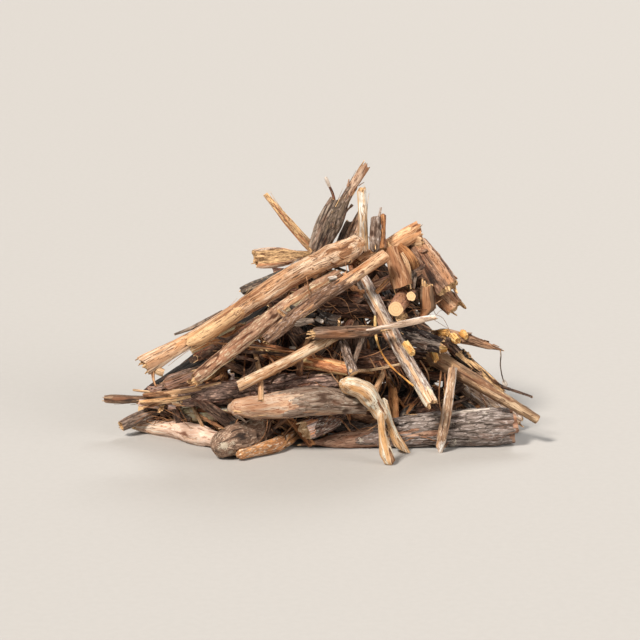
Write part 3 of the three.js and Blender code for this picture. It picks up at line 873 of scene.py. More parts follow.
class Core(Run):
    """The run and girth of one of the frame's sticks, read from its mesh."""

    SPACING = 2.5 * MM
    FACETS = 6  # waves round the stick that count as its own shape

    def __init__(self, node: str) -> None:
        """Reads the node.

        Args:
            node: Its name in the frame.
        """
        merged = bmesh.new()
        merged.from_mesh(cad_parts[node].data)
        bmesh.ops.remove_doubles(merged, verts=merged.verts, dist=1e-6)
        self.walls = BVHTree.FromBMesh(merged)
        corners = np.array([v.co for v in merged.verts])
        middles = np.array([f.calc_center_median() for f in merged.faces])
        areas = np.array([f.calc_area() for f in merged.faces])
        merged.free()
        centre = (middles * areas[:, None]).sum(0) / areas.sum()
        spread = (middles - centre) * np.sqrt(areas)[:, None]
        axis = self._forwards(np.linalg.svd(spread, full_matrices=False)[2][0])
        reach = (corners - centre) @ axis
        low, high = reach.min(), reach.max()
        width = areas.sum() / (TURN * (high - low))
        pad = min(0.9 * width, 0.2 * (high - low))
        count = max(6, round((high - low) / self.SPACING))
        window = max(9 * MM, 0.2 * (high - low))
        line = np.empty((count, 3))
        for i, stop in enumerate(np.linspace(low + pad, high - pad, count)):
            near = corners[np.abs(reach - stop) < window].mean(0)
            line[i] = near + axis * (stop - (near - centre) @ axis)
        side, out = self.across(axis)
        sides, outs = np.tile(side, (count, 1)), np.tile(out, (count, 1))
        for _ in range(3):
            line = self._reached(line, sides, outs, width).mean(1)
        for _ in range(6):
            line[1:-1] = (line[:-2] + 2 * line[1:-1] + line[2:]) / 4
        tip = pad - 0.12 * width
        first = line[0] - self._heading(line[:4]) * tip
        last = line[-1] + self._heading(line[-4:]) * tip
        super().__init__(np.vstack([first, line, last]))
        found = self._reached(line, self.side[1:-1], self.out[1:-1], width)
        girths = np.linalg.norm(found - line[:, None], axis=2)
        waves = np.fft.rfft(np.vstack([girths[:1], girths, girths[-1:]]), axis=1)
        waves[:, self.FACETS + 1 :] = 0
        girths = np.maximum(np.fft.irfft(waves, self.RAYS, axis=1), 0.15 * width)
        girths[1:-1] = (girths[:-2] + 2 * girths[1:-1] + girths[2:]) / 4
        self.girths = girths * 1.01
        self.width = width

    @staticmethod
    def _forwards(axis: Values) -> Values:
        """Turns a direction to run rightwards, or backwards, or else down."""
        if abs(axis[1]) > 0.85:
            return axis * np.sign(axis[1])
        return axis * (np.sign(axis[0]) if abs(axis[0]) > 0.35 else -np.sign(axis[2]))

    @staticmethod
    def _heading(points: Values) -> Values:
        """The direction from the first of some points to the last."""
        way = points[-1] - points[0]
        return way / np.linalg.norm(way)

    def _reached(self, line: Values, side: Values, out: Values, width: float) -> Values:
        """Where rays from the line meet the stick's walls, stations by rays by 3."""
        angles = np.arange(self.RAYS) * TURN / self.RAYS
        found = np.empty((len(line), self.RAYS, 3))
        for i, start in enumerate(line):
            for j, angle in enumerate(angles):
                way = math.cos(angle) * side[i] + math.sin(angle) * out[i]
                hit = self.walls.ray_cast(Vector(start), Vector(way), width * 4)[0]
                found[i, j] = start + way * width if hit is None else hit
        return found


class End(Enum):
    """How a stick ends."""

    SAWN = "sawn square"
    SLANT = "cut on the slant"
    SNAPPED = "snapped, its fibres at different heights"
    FRAYED = "snapped, with long loose splinters"
    ROUND = "worn round"
    POINT = "drawn out to a point"


@dataclass(frozen=True)
class Knot:
    """A knot or swelling on a stick: where it is, and its size as a share of the girth."""

    at: float
    turn: float  # degrees
    size: float = 0.25
    width: float = 5 * MM
    pit: float = 0.5  # how deep its middle is sunk, as a share of its height


@dataclass
class Stick:
    """One stick of the heap: its finish, its ends, and what grows on it or hangs off it."""

    name: str
    finish: TwigFinish
    ends: tuple[End, End] = (End.SNAPPED, End.SNAPPED)
    knots: tuple[Knot, ...] = ()
    splinters: int = 3  # at each snapped end
    shreds: int = 5  # slivers and fibres that lift off its side
    scales: int = 0  # loose plates of bark
    ragged: float = 0.6  # how uneven a snapped end is, as a share of its girth
    peeled: tuple[float, float] = (0.0, 0.0)  # the share of its length that is bare at each end
    grow: tuple[float, float] = (0.0, 0.0)  # millimetres added at each end
    profile: tuple[float, ...] = (1.0,)  # the girth's factors from start to end, evenly spaced
    hollow: float = 0.0  # how deep the inside of a split shell is
    mouth: float = 90.0  # the way that the hollow faces, in degrees
    seed: int = 0
    core: Run | None = None
    face: float = 0.85 * MM
    ring: float = 1.15 * MM

    def __post_init__(self) -> None:
        """Starts the stick's own random draws."""
        self.random = np.random.default_rng(STICK_SEEDS + self.seed)

    def _torn(self, x: Values, y: Values, end: int) -> Values:
        """How far each fibre stands out of a snapped end, in metres."""
        width = self.core.width
        spot = np.stack([x, y, np.full(len(x), 0.01 * end)], 1)
        coarse = Noise.value(spot / (1.1 * width), self.seed + 11)
        chunk = Noise.lattice(np.floor(spot / (0.42 * width) + 0.5 * coarse[:, None]), self.seed)
        fibre = Noise.value(spot / (0.2 * width), self.seed + 5)
        return width * self.ragged * (1.1 * coarse + 0.6 * chunk + 0.5 * fibre - 1.1)

    def _end_shift(self, kind: End, end: int, x: Values, y: Values, out: Values) -> Values:
        """How far an end stands out at each point of it, beyond its mean place, in metres."""
        lean = 0.7 * self.seed
        tilt = x * math.cos(lean) + y * math.sin(lean)
        if kind in (End.SNAPPED, End.FRAYED):
            crater = 0.3 * self.core.width * (1 - np.clip(out, 0, 1) ** 2)
            return self._torn(x, y, end) - crater
        if kind is End.SLANT:
            return 1.3 * x
        if kind is End.SAWN:
            return 0.14 * tilt
        return 0.3 * self.core.width * np.sqrt(np.clip(1 - out**2, 0, 1))

    def _end_size(self, kind: End, off: Values) -> Values:
        """The share of its girth that a stick has at a distance `off` from its end."""
        width = self.core.width
        if kind is End.ROUND:
            near = np.clip(1 - off / (0.6 * width), 0, 1)
            return np.sqrt(1 - 0.7 * near**2)
        if kind is End.POINT:
            return 1 - 0.75 * np.clip(1 - off / (3.5 * width), 0, 1) ** 1.5
        if kind is End.SAWN or kind is End.SLANT:
            return 1 - 0.05 * np.clip(1 - off / (0.4 * MM), 0, 1)
        return 1 - 0.06 * np.clip(1 - off / width, 0, 1)

    def _furrows(self, where: Values, angle: Values) -> Values:
        """1 in the furrows that run along the bark, 0 between them."""
        r = self.finish.relief
        count = max(3, round(TURN * self.core.width / r.gap))
        bend = Noise.layered(where / np.array([2 * r.gap, 2 * r.gap, r.run]), self.seed + 7, 2)
        phase = (angle * count / TURN + 2.6 * bend) % 1
        line = step_between(np.abs(phase - 0.5), 0.26, 0.48)
        live = Noise.value(where / np.array([1.6 * r.gap, 1.6 * r.gap, 0.5 * r.run]), self.seed + 8)
        return line * step_between(live, 0.25, 0.5)

    def _bark(self, where: Values, at: Values) -> Values:
        """1 where the bark is still on, 0 where it has peeled."""
        cover = self.finish.relief.cover
        patch = Noise.layered(where / np.array([4, 4, 34]) / MM, self.seed + 3, 3)
        for end, share in enumerate(self.peeled):
            if share:
                off = (1 - at if end else at) / share
                border = 1 - off + 3.2 * (patch - 0.5) * min(1.0, 0.25 / share)
                patch = patch - 0.8 * step_between(border, 0, 0.35)
        if cover >= 1:
            return np.ones(len(at))
        return step_between(patch, 0.78 - 0.56 * cover, 0.84 - 0.56 * cover)

    def _carve(self, where: Values, at: Values, angle: Values, size: Values) -> tuple[Values, ...]:
        """The stick's surface.

        Args:
            where: Points of the straight stick, n by 3.
            at: How far along it each is.
            angle: How far round it each is.
            size: The girth there.

        Returns:
            How far each point moves out, then its bark and its relief.
        """
        r = self.finish.relief
        fine = min(1.0, self.core.width / (3 * MM))
        lumps = Noise.layered(where / (9 * MM), self.seed, 2) - 0.5
        shift = size * r.lumps * 2 * lumps
        bark = self._bark(where, at)
        cleft = self._furrows(where, angle)
        ribs = Noise.layered(where / np.array([1.6, 1.6, 24]) / MM, self.seed + 9, 2) - 0.5
        pits = Noise.layered(where / np.array([1.2, 1.2, 2.4]) / MM, self.seed + 13, 2) - 0.5
        shift += fine * bark * (r.bark - r.furrow * cleft)
        shift += fine * (ribs * 2 * r.ribs * (1.4 - 0.7 * bark) + pits * 2 * r.pits)
        # The relief is low in the furrows and on the low sides of bare ribs, and the knot pits lower it
        # below. The finishes paint shade where it is low.
        relief = 1 - bark * cleft * 0.85 + (1 - bark) * (ribs * 1.4 - 0.2) + pits * 0.5
        for knot in self.knots:
            off = (at - knot.at) * self.core.length
            turn = (angle - math.radians(knot.turn) + math.pi) % TURN - math.pi
            near = (off**2 + (turn * size) ** 2) / knot.width**2
            shift += size * knot.size * (np.exp(-near) - 2 * knot.pit * np.exp(-near * 7))
            relief -= 0.9 * np.exp(-near * 5) * (knot.pit > 0)
        return shift, bark, np.clip(relief, 0, 1)

    def body(self) -> Shape:
        """The stick itself, carved from a blank."""
        core = self.core
        sides = int(np.clip(TURN * core.width / self.face, 7, 84))
        rings = int(np.clip(core.length / self.ring, 8, 170))
        insets = 6 if sides > 40 else 4 if sides > 16 else 2
        blank = Blank.turned(sides, rings, insets)
        angle, out = blank.angle, blank.out
        first, last = (extra * MM / core.length for extra in self.grow)
        at = blank.along * (1 + first + last) - first
        size = core.girth(np.clip(at, 0, 1), angle)
        size = size * np.interp(blank.along, np.linspace(0, 1, len(self.profile)), self.profile)
        turn = np.cos(angle - math.radians(self.mouth))
        size = size * (1 - self.hollow * step_between(turn, 0.1, 0.85))
        offs = [(at + first) * core.length, (1 + last - at) * core.length]
        for kind, off in zip(self.ends, offs):
            size = size * self._end_size(kind, off)
        offset = np.array([0, 0, SEED_SHIFT * self.seed])
        place = np.stack([np.cos(angle) * size * out, np.sin(angle) * size * out, at * core.length], 1)
        shift, bark, relief = self._carve(place + offset, blank.along, angle, size)
        size = (size + shift) * out
        x, y = np.cos(angle) * size, np.sin(angle) * size
        along = at.copy()
        for end, (kind, off) in enumerate(zip(self.ends, offs)):
            fade = np.clip(1 - off / (2.6 * core.width), 0, 1) ** 1.5
            beyond = self._end_shift(kind, end, x, y, out) * fade / core.length
            along = along + (beyond if end else -beyond)
            # A snapped end's sunken fibres get a low relief, which the torn finish paints dark as shade.
            if kind in (End.SNAPPED, End.FRAYED):
                capped = (out < 0.97) & (off < 1e-6)
                deep = step_between(beyond * core.length / core.width, -0.9, 0.5)
                relief = np.where(capped, deep, relief)
        skins = np.zeros(len(blank.faces), int)
        if self.hollow:
            inside = np.cos(blank.face_angle - math.radians(self.mouth)) > 0.35
            skins[inside] = Skin.TORN.value
        for end, kind in enumerate(self.ends):
            cut = kind in (End.SAWN, End.SLANT)
            if kind is not End.ROUND:
                skin = Skin.SAWN if cut else Skin.TORN
                skins[blank.ends == (1 if end else -1)] = skin.value
        grain = np.stack([x, y, along * core.length], 1) + offset
        return Shape(core.bent(along, x, y), blank.faces, skins, grain, bark, relief)

    def strand(
        self, at: Values, angle: Values, lift: Values, wide: float, thick: float, skin: Skin,
        tip: float = 0.15,
    ) -> Shape:
        """A sliver that follows the stick and lifts off it.

        Args:
            at: Places along the stick that it passes, from its root to its tip.
            angle: Its angle round the stick at each.
            lift: How far off the skin it is at each, in metres.
            wide: Its greatest half-width, in metres.
            thick: Its half-thickness, in metres.
            skin: The material that it has.
            tip: Its width at the tip, as a share of the greatest.

        Returns:
            The sliver.
        """
        blank = Blank.turned(6, 8, 1)
        share = blank.along * (len(at) - 1)
        ticks = np.arange(len(at))
        own_at, own_angle, own_lift = (np.interp(share, ticks, v) for v in (at, angle, lift))
        end = np.clip((1 - blank.along) / 0.7, 0, 1)
        taper = (tip + (1 - tip) * end) * np.minimum(1, 0.5 + 4 * blank.along)
        seed = int(self.random.integers(1 << 20))
        jag = Noise.value(np.stack([blank.along * 7, blank.points[:, 0] * 2, own_at], 1), seed)
        size = self.core.girth(np.clip(own_at, 0, 1), own_angle)
        radial = size + own_lift + np.sin(blank.angle) * blank.out * thick * (0.4 + 0.6 * taper)
        sideways = np.cos(blank.angle) * blank.out * wide * taper * (0.6 + 0.8 * jag)
        x = np.cos(own_angle) * radial - np.sin(own_angle) * sideways
        y = np.sin(own_angle) * radial + np.cos(own_angle) * sideways
        grain = np.stack([x, y, own_at * self.core.length], 1) + np.array([0, 0, SEED_SHIFT * self.seed])
        count = len(blank.points)
        bark = np.full(count, float(self.random.random() < self.finish.relief.cover))
        skins = np.full(len(blank.faces), skin.value)
        points = self.core.bent(own_at, x, y)
        return Shape(points, blank.faces, skins, grain, bark, np.full(count, 0.8))

    def tuft(self, end: int) -> list[Shape]:
        """The splinters that stand out of a snapped end."""
        kind, core = self.ends[end], self.core
        if kind not in (End.SNAPPED, End.FRAYED):
            return []
        long = 1.7 if kind is End.FRAYED else 0.8
        extra = self.grow[end] * MM / core.length
        made = []
        for _ in range(self.splinters * (2 if kind is End.FRAYED else 1)):
            turn = self.random.uniform(0, TURN)
            reach = core.width * long * self.random.uniform(0.3, 1.1) / core.length
            root = core.width * self.random.uniform(0.8, 2.0) / core.length
            places = np.array([-root, 0.0, reach * 0.5, reach]) + extra
            at = places + 1 if end else -places
            deep = -self.random.uniform(0.08, 0.6) * core.width
            flare = self.random.uniform(-0.1, 0.22) * reach * core.length
            lift = np.array([deep, deep, deep + flare * 0.4, deep + flare])
            lean = turn + self.random.uniform(-0.2, 0.2) * np.array([0, 0.3, 0.7, 1.0])
            wide = core.width * self.random.uniform(0.12, 0.34)
            tip = self.random.uniform(0.15, 0.6)
            made.append(self.strand(at, lean, lift, wide, wide * 0.4, Skin.TORN, tip))
        return made

    def shred(self) -> Shape:
        """One sliver or fibre that lifts off the stick's side."""
        core = self.core
        start = self.random.uniform(0.08, 0.85)
        way = self.random.choice([-1, 1])
        long = self.random.uniform(6, 22) * MM / core.length
        at = np.clip(start + way * long * np.linspace(0, 1, 5), 0.02, 0.98)
        angle = self.random.uniform(0, TURN) + self.random.uniform(-0.6, 0.6) * np.linspace(0, 1, 5)
        rise = self.random.uniform(0.2, 2.0) * MM
        lift = rise * np.linspace(0, 1, 5) ** 1.8 - 0.1 * MM
        wide = self.random.uniform(0.2, 0.8) * MM
        skin = Skin.BARK if self.random.random() < 0.6 else Skin.TORN
        return self.strand(at, angle, lift, wide, min(wide * 0.5, 0.18 * MM), skin)

    def scale(self) -> Shape:
        """One loose plate of bark, lifted at an edge."""
        core = self.core
        start = self.random.uniform(0.02, 0.95)
        long = self.random.uniform(3, 9) * MM / core.length
        at = start + self.random.choice([-1, 1]) * long * np.linspace(0, 1, 4)
        angle = self.random.uniform(0, TURN) + self.random.uniform(-0.5, 0.5) * np.linspace(0, 1, 4)
        rise = self.random.uniform(0.2, 1.0) * long * core.length * 0.5
        lift = rise * np.linspace(0, 1, 4) ** 1.4
        wide = self.random.uniform(1.2, 2.8) * MM
        return self.strand(at, angle, lift, wide, 0.3 * MM, Skin.BARK, 0.7)

    def shape(self) -> Shape:
        """The stick with all that hangs off it."""
        shapes = [self.body(), *self.tuft(0), *self.tuft(1)]
        shapes += [self.shred() for _ in range(self.shreds)]
        shapes += [self.scale() for _ in range(self.scales)]
        return Shape.joined(shapes)


def palette(text: str) -> tuple[str, str, str]:
    """The dark, middle and light tones written in one line."""
    dark, middle, light = text.split()
    return dark, middle, light


@dataclass
class Heap:
    """Every stick of the heap that has its own node in the frame."""

    cores: dict[str, Core] = field(default_factory=dict)

    def plans(self) -> Iterable[Stick]:
        """The heap's sticks with their finishes, from the front to the back. Each stick's tones are its own
        colour with painted light and shade in them: darker for sticks that lie in shade, lighter for lit
        ones.
        """
        s, f, r, p = End.SAWN, End.FRAYED, End.ROUND, End.POINT
        n, slant = End.SNAPPED, End.SLANT

        def peeled(wood: str, **changes: object) -> TwigFinish:
            """Bare wood in the stick's own tones."""
            return replace(PEELED, wood=palette(wood), **changes)

        def barked(base: TwigFinish, bark: str, wood: str = "", **changes: object) -> TwigFinish:
            """A kind of bark in the stick's own tones, over wood of the same unless others are given."""
            return replace(base, bark=palette(bark), wood=palette(wood or bark), **changes)

        yield Stick("grey_bark_log", barked(GREY, "413831 948881 DAD1CE", "533E2E 936D59 BF9B84",
            lichens=0.45), (p, n), splinters=0, shreds=14, scales=6, ragged=0.16, peeled=(0.3, 0.02))
        yield Stick("pink_root_arm", barked(TAN, "A9806D ECD0BB F5EDE2", "BB8F78 F3D4BB F5F0E2",
            streaks=0.2, cracks=0.15, relief=Relief(cover=0.6, bark=0.2 * MM, furrow=0.15 * MM)), (n, r),
            (Knot(0.62, 80, 0.25),), shreds=3, grow=(0, 6), profile=(1.0, 1.15, 1.2, 1.15))
        yield Stick("mossy_burl", barked(GREY, "3D2F28 957762 E3C9B1", lichens=0.6, lichen="C4B8A4",
            streaks=0.5, streak="3B322C", cracks=0.2, relief=Relief(cover=0.9, lumps=0.22, bark=0.3 * MM,
            furrow=0.1 * MM)), (r, n), (Knot(0.25, 60, 0.2, 7 * MM, 0.3), Knot(0.4, 150, 0.2, 6 * MM),
            Knot(0.6, 80, 0.2)), shreds=3)
        yield Stick("right_root_arm", barked(TAN, "554438 D79C65 FAFAEA"), (r, n), shreds=4, grow=(9, 0),
            profile=(1.25, 1.2, 1.05, 1.0, 1.0))
        yield Stick("sawn_stub", barked(GREY, "34211C 9E7F71 F6F6EA", "7B4B34 F1AC82 F6F6F6",
            torn=TornFinish("F0DAB4", "A67C54")), (n, n), shreds=4, scales=3, ragged=0.35,
            peeled=(0.12, 0))
        yield Stick("knobbly_front_log", barked(GREY, "695446 A08D7D BBB7AB", "8F5E44 BF997B C7B29D",
            lichens=0.4), (r, n), (Knot(0.66, 60, 0.2, 6 * MM, 0.2), Knot(0.84, 120, 0.1),
            Knot(0.95, 90, 0.2)), shreds=8, scales=3, peeled=(0.42, 0), ragged=0.3)
        yield Stick("dark_furrowed_log", barked(DARK, "45352E 90796F DBB9A6", "B47650 F6C291 F6F6D6",
            flakes=0.7), (n, n), shreds=18, scales=6, splinters=3, ragged=0.4, peeled=(0.05, 0))
        yield Stick("splintered_heartwood", peeled("B58669 EEC8AE F6EEF6"), (n, n), shreds=8, ragged=0.5,
            splinters=2)
        head = (
            Knot(0.95, 75, 0.34, 4.5 * MM, 0.0), Knot(0.9, 150, 0.26, 5 * MM, 0.3),
            Knot(0.86, 40, 0.3, 5 * MM, 0.0), Knot(0.8, 100, 0.22, 4 * MM, 0.5),
            Knot(0.985, 20, 0.3, 4 * MM, 0.0), Knot(0.96, 130, 0.25, 3 * MM, 0.4),
            Knot(0.45, 95, 0.05, 3 * MM, 0.8), Knot(0.24, 60, 0.06, 2.5 * MM, 0.9),
        )
        yield Stick("long_pale_branch", peeled("614432 BF9572 EBD0B3", stain="C98A4C", stained=0.5,
            dots=0.9), (n, r), head, splinters=5, shreds=18, ragged=0.5,
            profile=(1.15, 0.92, 0.86, 0.95, 1.0, 1.0, 1.0, 1.0, 1.0, 0.98))
        yield Stick("side_limb_stub", peeled("563521 D08F5C F6F6CD", stain="B0622E"), (s, p))
        yield Stick("tan_diagonal_branch", barked(TAN, "603D28 B99377 FAEFCE", "6A442B CA9D79 FAFAD5",
            cracks=0.35), (n, n), (Knot(0.55, 75, 0.1),), shreds=14, splinters=5, ragged=0.8)
        yield Stick("striped_grey_branch", barked(GREY, "452C1F 8D6D55 C9B5A7", "6D4024 BA8053 E9C6A1",
            lichens=0.1), (n, s), shreds=12, peeled=(0, 0.35))
        yield Stick("pale_cut_stick", peeled("794D30 C79C75 E6D3B6", stain="B9803F", stained=0.45),
            (s, n), shreds=6)
        yield Stick("orange_brown_branch", barked(FIBROUS, "74452C C5855B E8B98E", "6E3C20 F3A56A F6E1A9",
            stain="C2622C", stained=0.6), (n, n), shreds=12, splinters=5)
        fork = peeled("8F6843 E0B687 F6F6E5", stain="CF9448", stained=0.5, dots=0.4)
        yield Stick("forked_twig_stem", fork, (r, r), (Knot(0.25, 60, 0.35, 4 * MM, 0.2),
            Knot(0.5, 110, 0.3), Knot(0.1, 120, 0.3)), grow=(0, 4), profile=(1.0, 1.1, 1.1, 1.05, 1.0,
            1.1))
        yield Stick("forked_twig_left_tine", fork, (r, r), shreds=1, grow=(5, 0),
            profile=(1.05, 0.9, 0.85, 1.0, 1.25, 1.2))
        yield Stick("forked_twig_right_tine", fork, (r, slant), shreds=1, grow=(5, 0),
            profile=(1.0, 0.9, 0.9, 1.1, 1.25))
        yield Stick("slant_cut_stick", barked(TAN, "705341 B69577 F0E1C9", "836147 D7B28E F6F6F1"),
            (n, slant), shreds=4, peeled=(0, 0.16))
        yield Stick("grey_white_stick", barked(GREY, "71574B C8BDB1 FAFAFA", "8B6145 DFBA95 FAFAE9",
            lichens=0.15, flakes=0.6), (n, n), (Knot(0.56, 80, 0.2, 5 * MM, 0.55),), shreds=8,
            peeled=(0.04, 0.16))
        yield Stick("long_right_stick", barked(TAN, "452E20 907357 C1A283", "5B3D2B A18463 CFB595",
            cracks=0.3), (n, s), shreds=10)
        yield Stick("split_bark_shell", barked(FIBROUS, "060302 1B130D 392D25", "150D06 2B2018 473E35"),
            (n, n), hollow=0.45, mouth=60, shreds=10)
        yield Stick("pointed_bark_shard", barked(FIBROUS, "442A1C 795941 B49378"), (n, p), shreds=12,
            scales=8)
        yield Stick("tall_splintered_branch", barked(GREY, "30221C 786857 AC9A90", "5A3822 AB7956 C1A68F",
            lichens=0.25, streaks=0.4), (n, n), splinters=4, ragged=0.9, shreds=14, scales=12,
            peeled=(0, 0.3), profile=(1.0, 1.0, 1.05, 1.1, 1.1, 0.85, 0.85, 0.95, 1.05),
            knots=(Knot(0.3, 90, 0.2, 4 * MM, 0.8), Knot(0.16, 60, 0.2, 5 * MM, 0.3)))
        yield Stick("curled_bark_strip", peeled("673D27 C88E66 FADDB6", stain="C4864C", stained=0.5),
            (s, n), hollow=0.5, mouth=70, shreds=8, profile=(0.9, 1.1, 1.3, 1.5))
        yield Stick("open_bark_shell", peeled("694732 D79E75 FAE8D3", stain="C07A3C", stained=0.7),
            (n, n), hollow=0.65, mouth=60, ragged=0.5, shreds=8, profile=(1.0, 1.1, 1.05, 0.8, 0.8))
        yield Stick("pale_upright_stick", peeled("9C7C5D F1C78F F6F6ED", stained=0.3), (n, n), shreds=3,
            ragged=0.9)
        yield Stick("grey_brown_plate", barked(GREY, "6F6055 ECC5A6 FAEBD7"), (n, p), shreds=4)
        yield Stick("lichen_stub", barked(GREY, "5C483C A28F81 E0DAD6", lichens=0.55), (s, r),
            (Knot(0.9, 90, 0.35), Knot(0.5, 130, 0.3), Knot(0.3, 50, 0.25)), shreds=3, scales=4,
            profile=(1.0, 0.9, 1.0, 0.9, 1.05))
        yield Stick("orange_tan_slab", barked(TAN, "7C4E33 C48E64 E8BC92", "8A5A38 CB966A EEC49A",
            stain="C06A38", stained=0.4, cracks=0.15, relief=Relief(cover=0.2, bark=0.12 * MM,
            furrow=0.12 * MM)), (n, n), shreds=4, ragged=1.1)
        yield Stick("striped_bark_slab", barked(TAN, "2B1F19 8F6B54 B99B84", "503422 A87D5D C5A68C",
            cracks=0.5, relief=Relief(cover=0.55, bark=0.2 * MM, furrow=0.15 * MM)), (n, n), shreds=8,
            scales=3, ragged=0.4)
        smooth = barked(TAN, "7B4A2D A77955 CBA27E", cracks=0.15, flakes=0.15, streaks=0.15)
        yield Stick("brown_flared_stub", smooth, (n, n), shreds=2, ragged=0.15)
        yield Stick("round_cut_stick", barked(TAN, "704225 A57E60 CA9883"), (s, n), shreds=2)
        yield Stick("small_round_cut_stick", barked(TAN, "291911 463424 835E52"), (s, n), shreds=1)
        yield Stick("lower_flared_stub", replace(smooth, bark=palette("4C3022 795E46 B2B2A2")), (n, n),
            shreds=3, ragged=0.4)
        yield Stick("frayed_stub", barked(FIBROUS, "65412F AD7F5D D2B192"), (n, n), shreds=8, scales=3,
            ragged=0.35)
        yield Stick("brown_fibrous_branch", barked(FIBROUS, "3B251A 67503F 967F6E"), (f, f), shreds=12)
        yield Stick("pale_pink_wedge", peeled("7D5E4B DAC1AA F6F6F4", stained=0.15, dots=0.3), (p, n),
            shreds=2)
        black = barked(DARK, "0C0606 2F2624 9D9086", flakes=0.6, streaks=0.1)
        yield Stick("black_bark_chunk", black, (n, n), shreds=8, scales=16)
        yield Stick("flaky_dark_chunk", barked(DARK, "110805 3E3127 888988", streaks=0.2), (n, n),
            shreds=12, scales=22)
        yield Stick("small_grey_stub", barked(GREY, "36231B 927C6C ECE4E1"), (n, s), shreds=3)
        yield Stick("grey_left_stub", barked(GREY, "554841 988476 C3B1A4"), (n, n), shreds=4, ragged=0.4)
        yield Stick("far_left_stick", barked(TAN, "3E332C 7A614E A88A6E"), (n, n), shreds=3)
        yield Stick("left_bark_plate", barked(FIBROUS, "1D1815 856B5A BBA298"), (n, n), shreds=8,
            scales=4)
        yield Stick("rear_left_branch", barked(GREY, "383635 60584F C5B19A"), (n, n), shreds=6)
        yield Stick("under_branch_bark", barked(DARK, "331F16 543E31 87745E"), (n, n), shreds=10,
            scales=6)
        inner = barked(DARK, "200E07 604333 AC8976")
        for name in ("inner_low_log", "inner_middle_log", "inner_upper_log"):
            yield Stick(name, inner, shreds=10, scales=8)
        yield Stick("back_left_base_log", barked(GREY, "222020 959091 817070", "563F31 BE946D 947057"),
            (s, n), scales=5)
        yield Stick("back_right_base_log", barked(TAN, "5E4232 B08A6C DCC0A0", "8A5838 C8946A E8C8A0"),
            (n, s), scales=3)
        yield Stick("back_left_leaning_branch", barked(TAN, "6A3721 F6BB84 F6F6F4",
            "A7532A F6C576 F6F6F3"), (n, n), shreds=12)
        yield Stick("back_right_leaning_branch", peeled("8E4A23 CB8A5C F6C8A2"), (s, n), shreds=12)
        yield Stick("back_cross_branch", barked(GREY, "513E37 BEABA6 FAFAF7", "B87450 F1B07F FAFAC4"),
            (f, n), shreds=8, scales=6)
        yield Stick("back_middle_branch", barked(DARK, "0B0604 3A281F 685148", "261108 5A321A 8B5C3D"),
            shreds=8, scales=6)
        yield Stick("back_upper_slab", barked(FIBROUS, "341D15 714D3D BEA094", "502816 8C5B3F DEB694"),
            shreds=10)
        yield Stick("back_upright_stick", barked(TAN, "2C1F18 7D6F5D 6D6A6C", "49321F 927652 79746B"),
            (n, s))
        yield Stick("right_side_branch", barked(GREY, "5B3F36 D2B99F F6F6F6"), (n, n))
        yield Stick("left_side_branch", barked(DARK, "070505 272321 4E4543", "1C1009 402D1E 694E38"),
            shreds=8)
        yield Stick("left_inner_root", barked(TAN, "A9774F FAFAD0 FAFAFA"), shreds=6)

    def build(self) -> None:
        """Makes every stick in place of its node."""
        for number, plan in enumerate(self.plans()):
            core = Core(plan.name)
            stick = replace(plan, core=core, seed=number + 1)
            piece = stick.shape().build(stick.name + "_wood", stick.finish)
            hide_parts(stick.name)
            self.cores[stick.name] = core


KINDS: dict[str, TwigFinish] = {
    "dark": replace(DARK, bark=palette("32231B 6E574A AA907A"), wood=palette("4A3529 86674F B8947A")),
    "black": replace(DARK, bark=palette("161210 3C3733 8E8378"), streaks=0.1),
    "brown": replace(FIBROUS, bark=palette("4A3226 8E6A50 C4A07E")),
    "red": replace(FIBROUS, bark=palette("4E3020 8E5F40 C49A70"), wood=palette("5C3826 A0714C D4A47A")),
    "grey": replace(GREY, bark=palette("453A33 8A7A6C C4B6A6")),
    "pale": replace(PEELED, wood=palette("7A5A42 CDA47C F2D2AA")),
    "chip": replace(
        PEELED, wood=palette("9A5E28 E0A658 F8DC9C"), stain="CE7E34", stained=0.6,
        relief=Relief(cover=0.0, lumps=0.45, ribs=0.3 * MM, pits=0.3 * MM),
        torn=TornFinish("F4D592", "B0702E"),
    ),
    "limb": replace(PEELED, wood=palette("7C5941 C99B6E EAC698"), stain="C98A4C", stained=0.5),
    "papery": replace(PEELED, wood=palette("8E8176 C4B9AD E6DED4"), stained=0.0, dots=0.2),
}


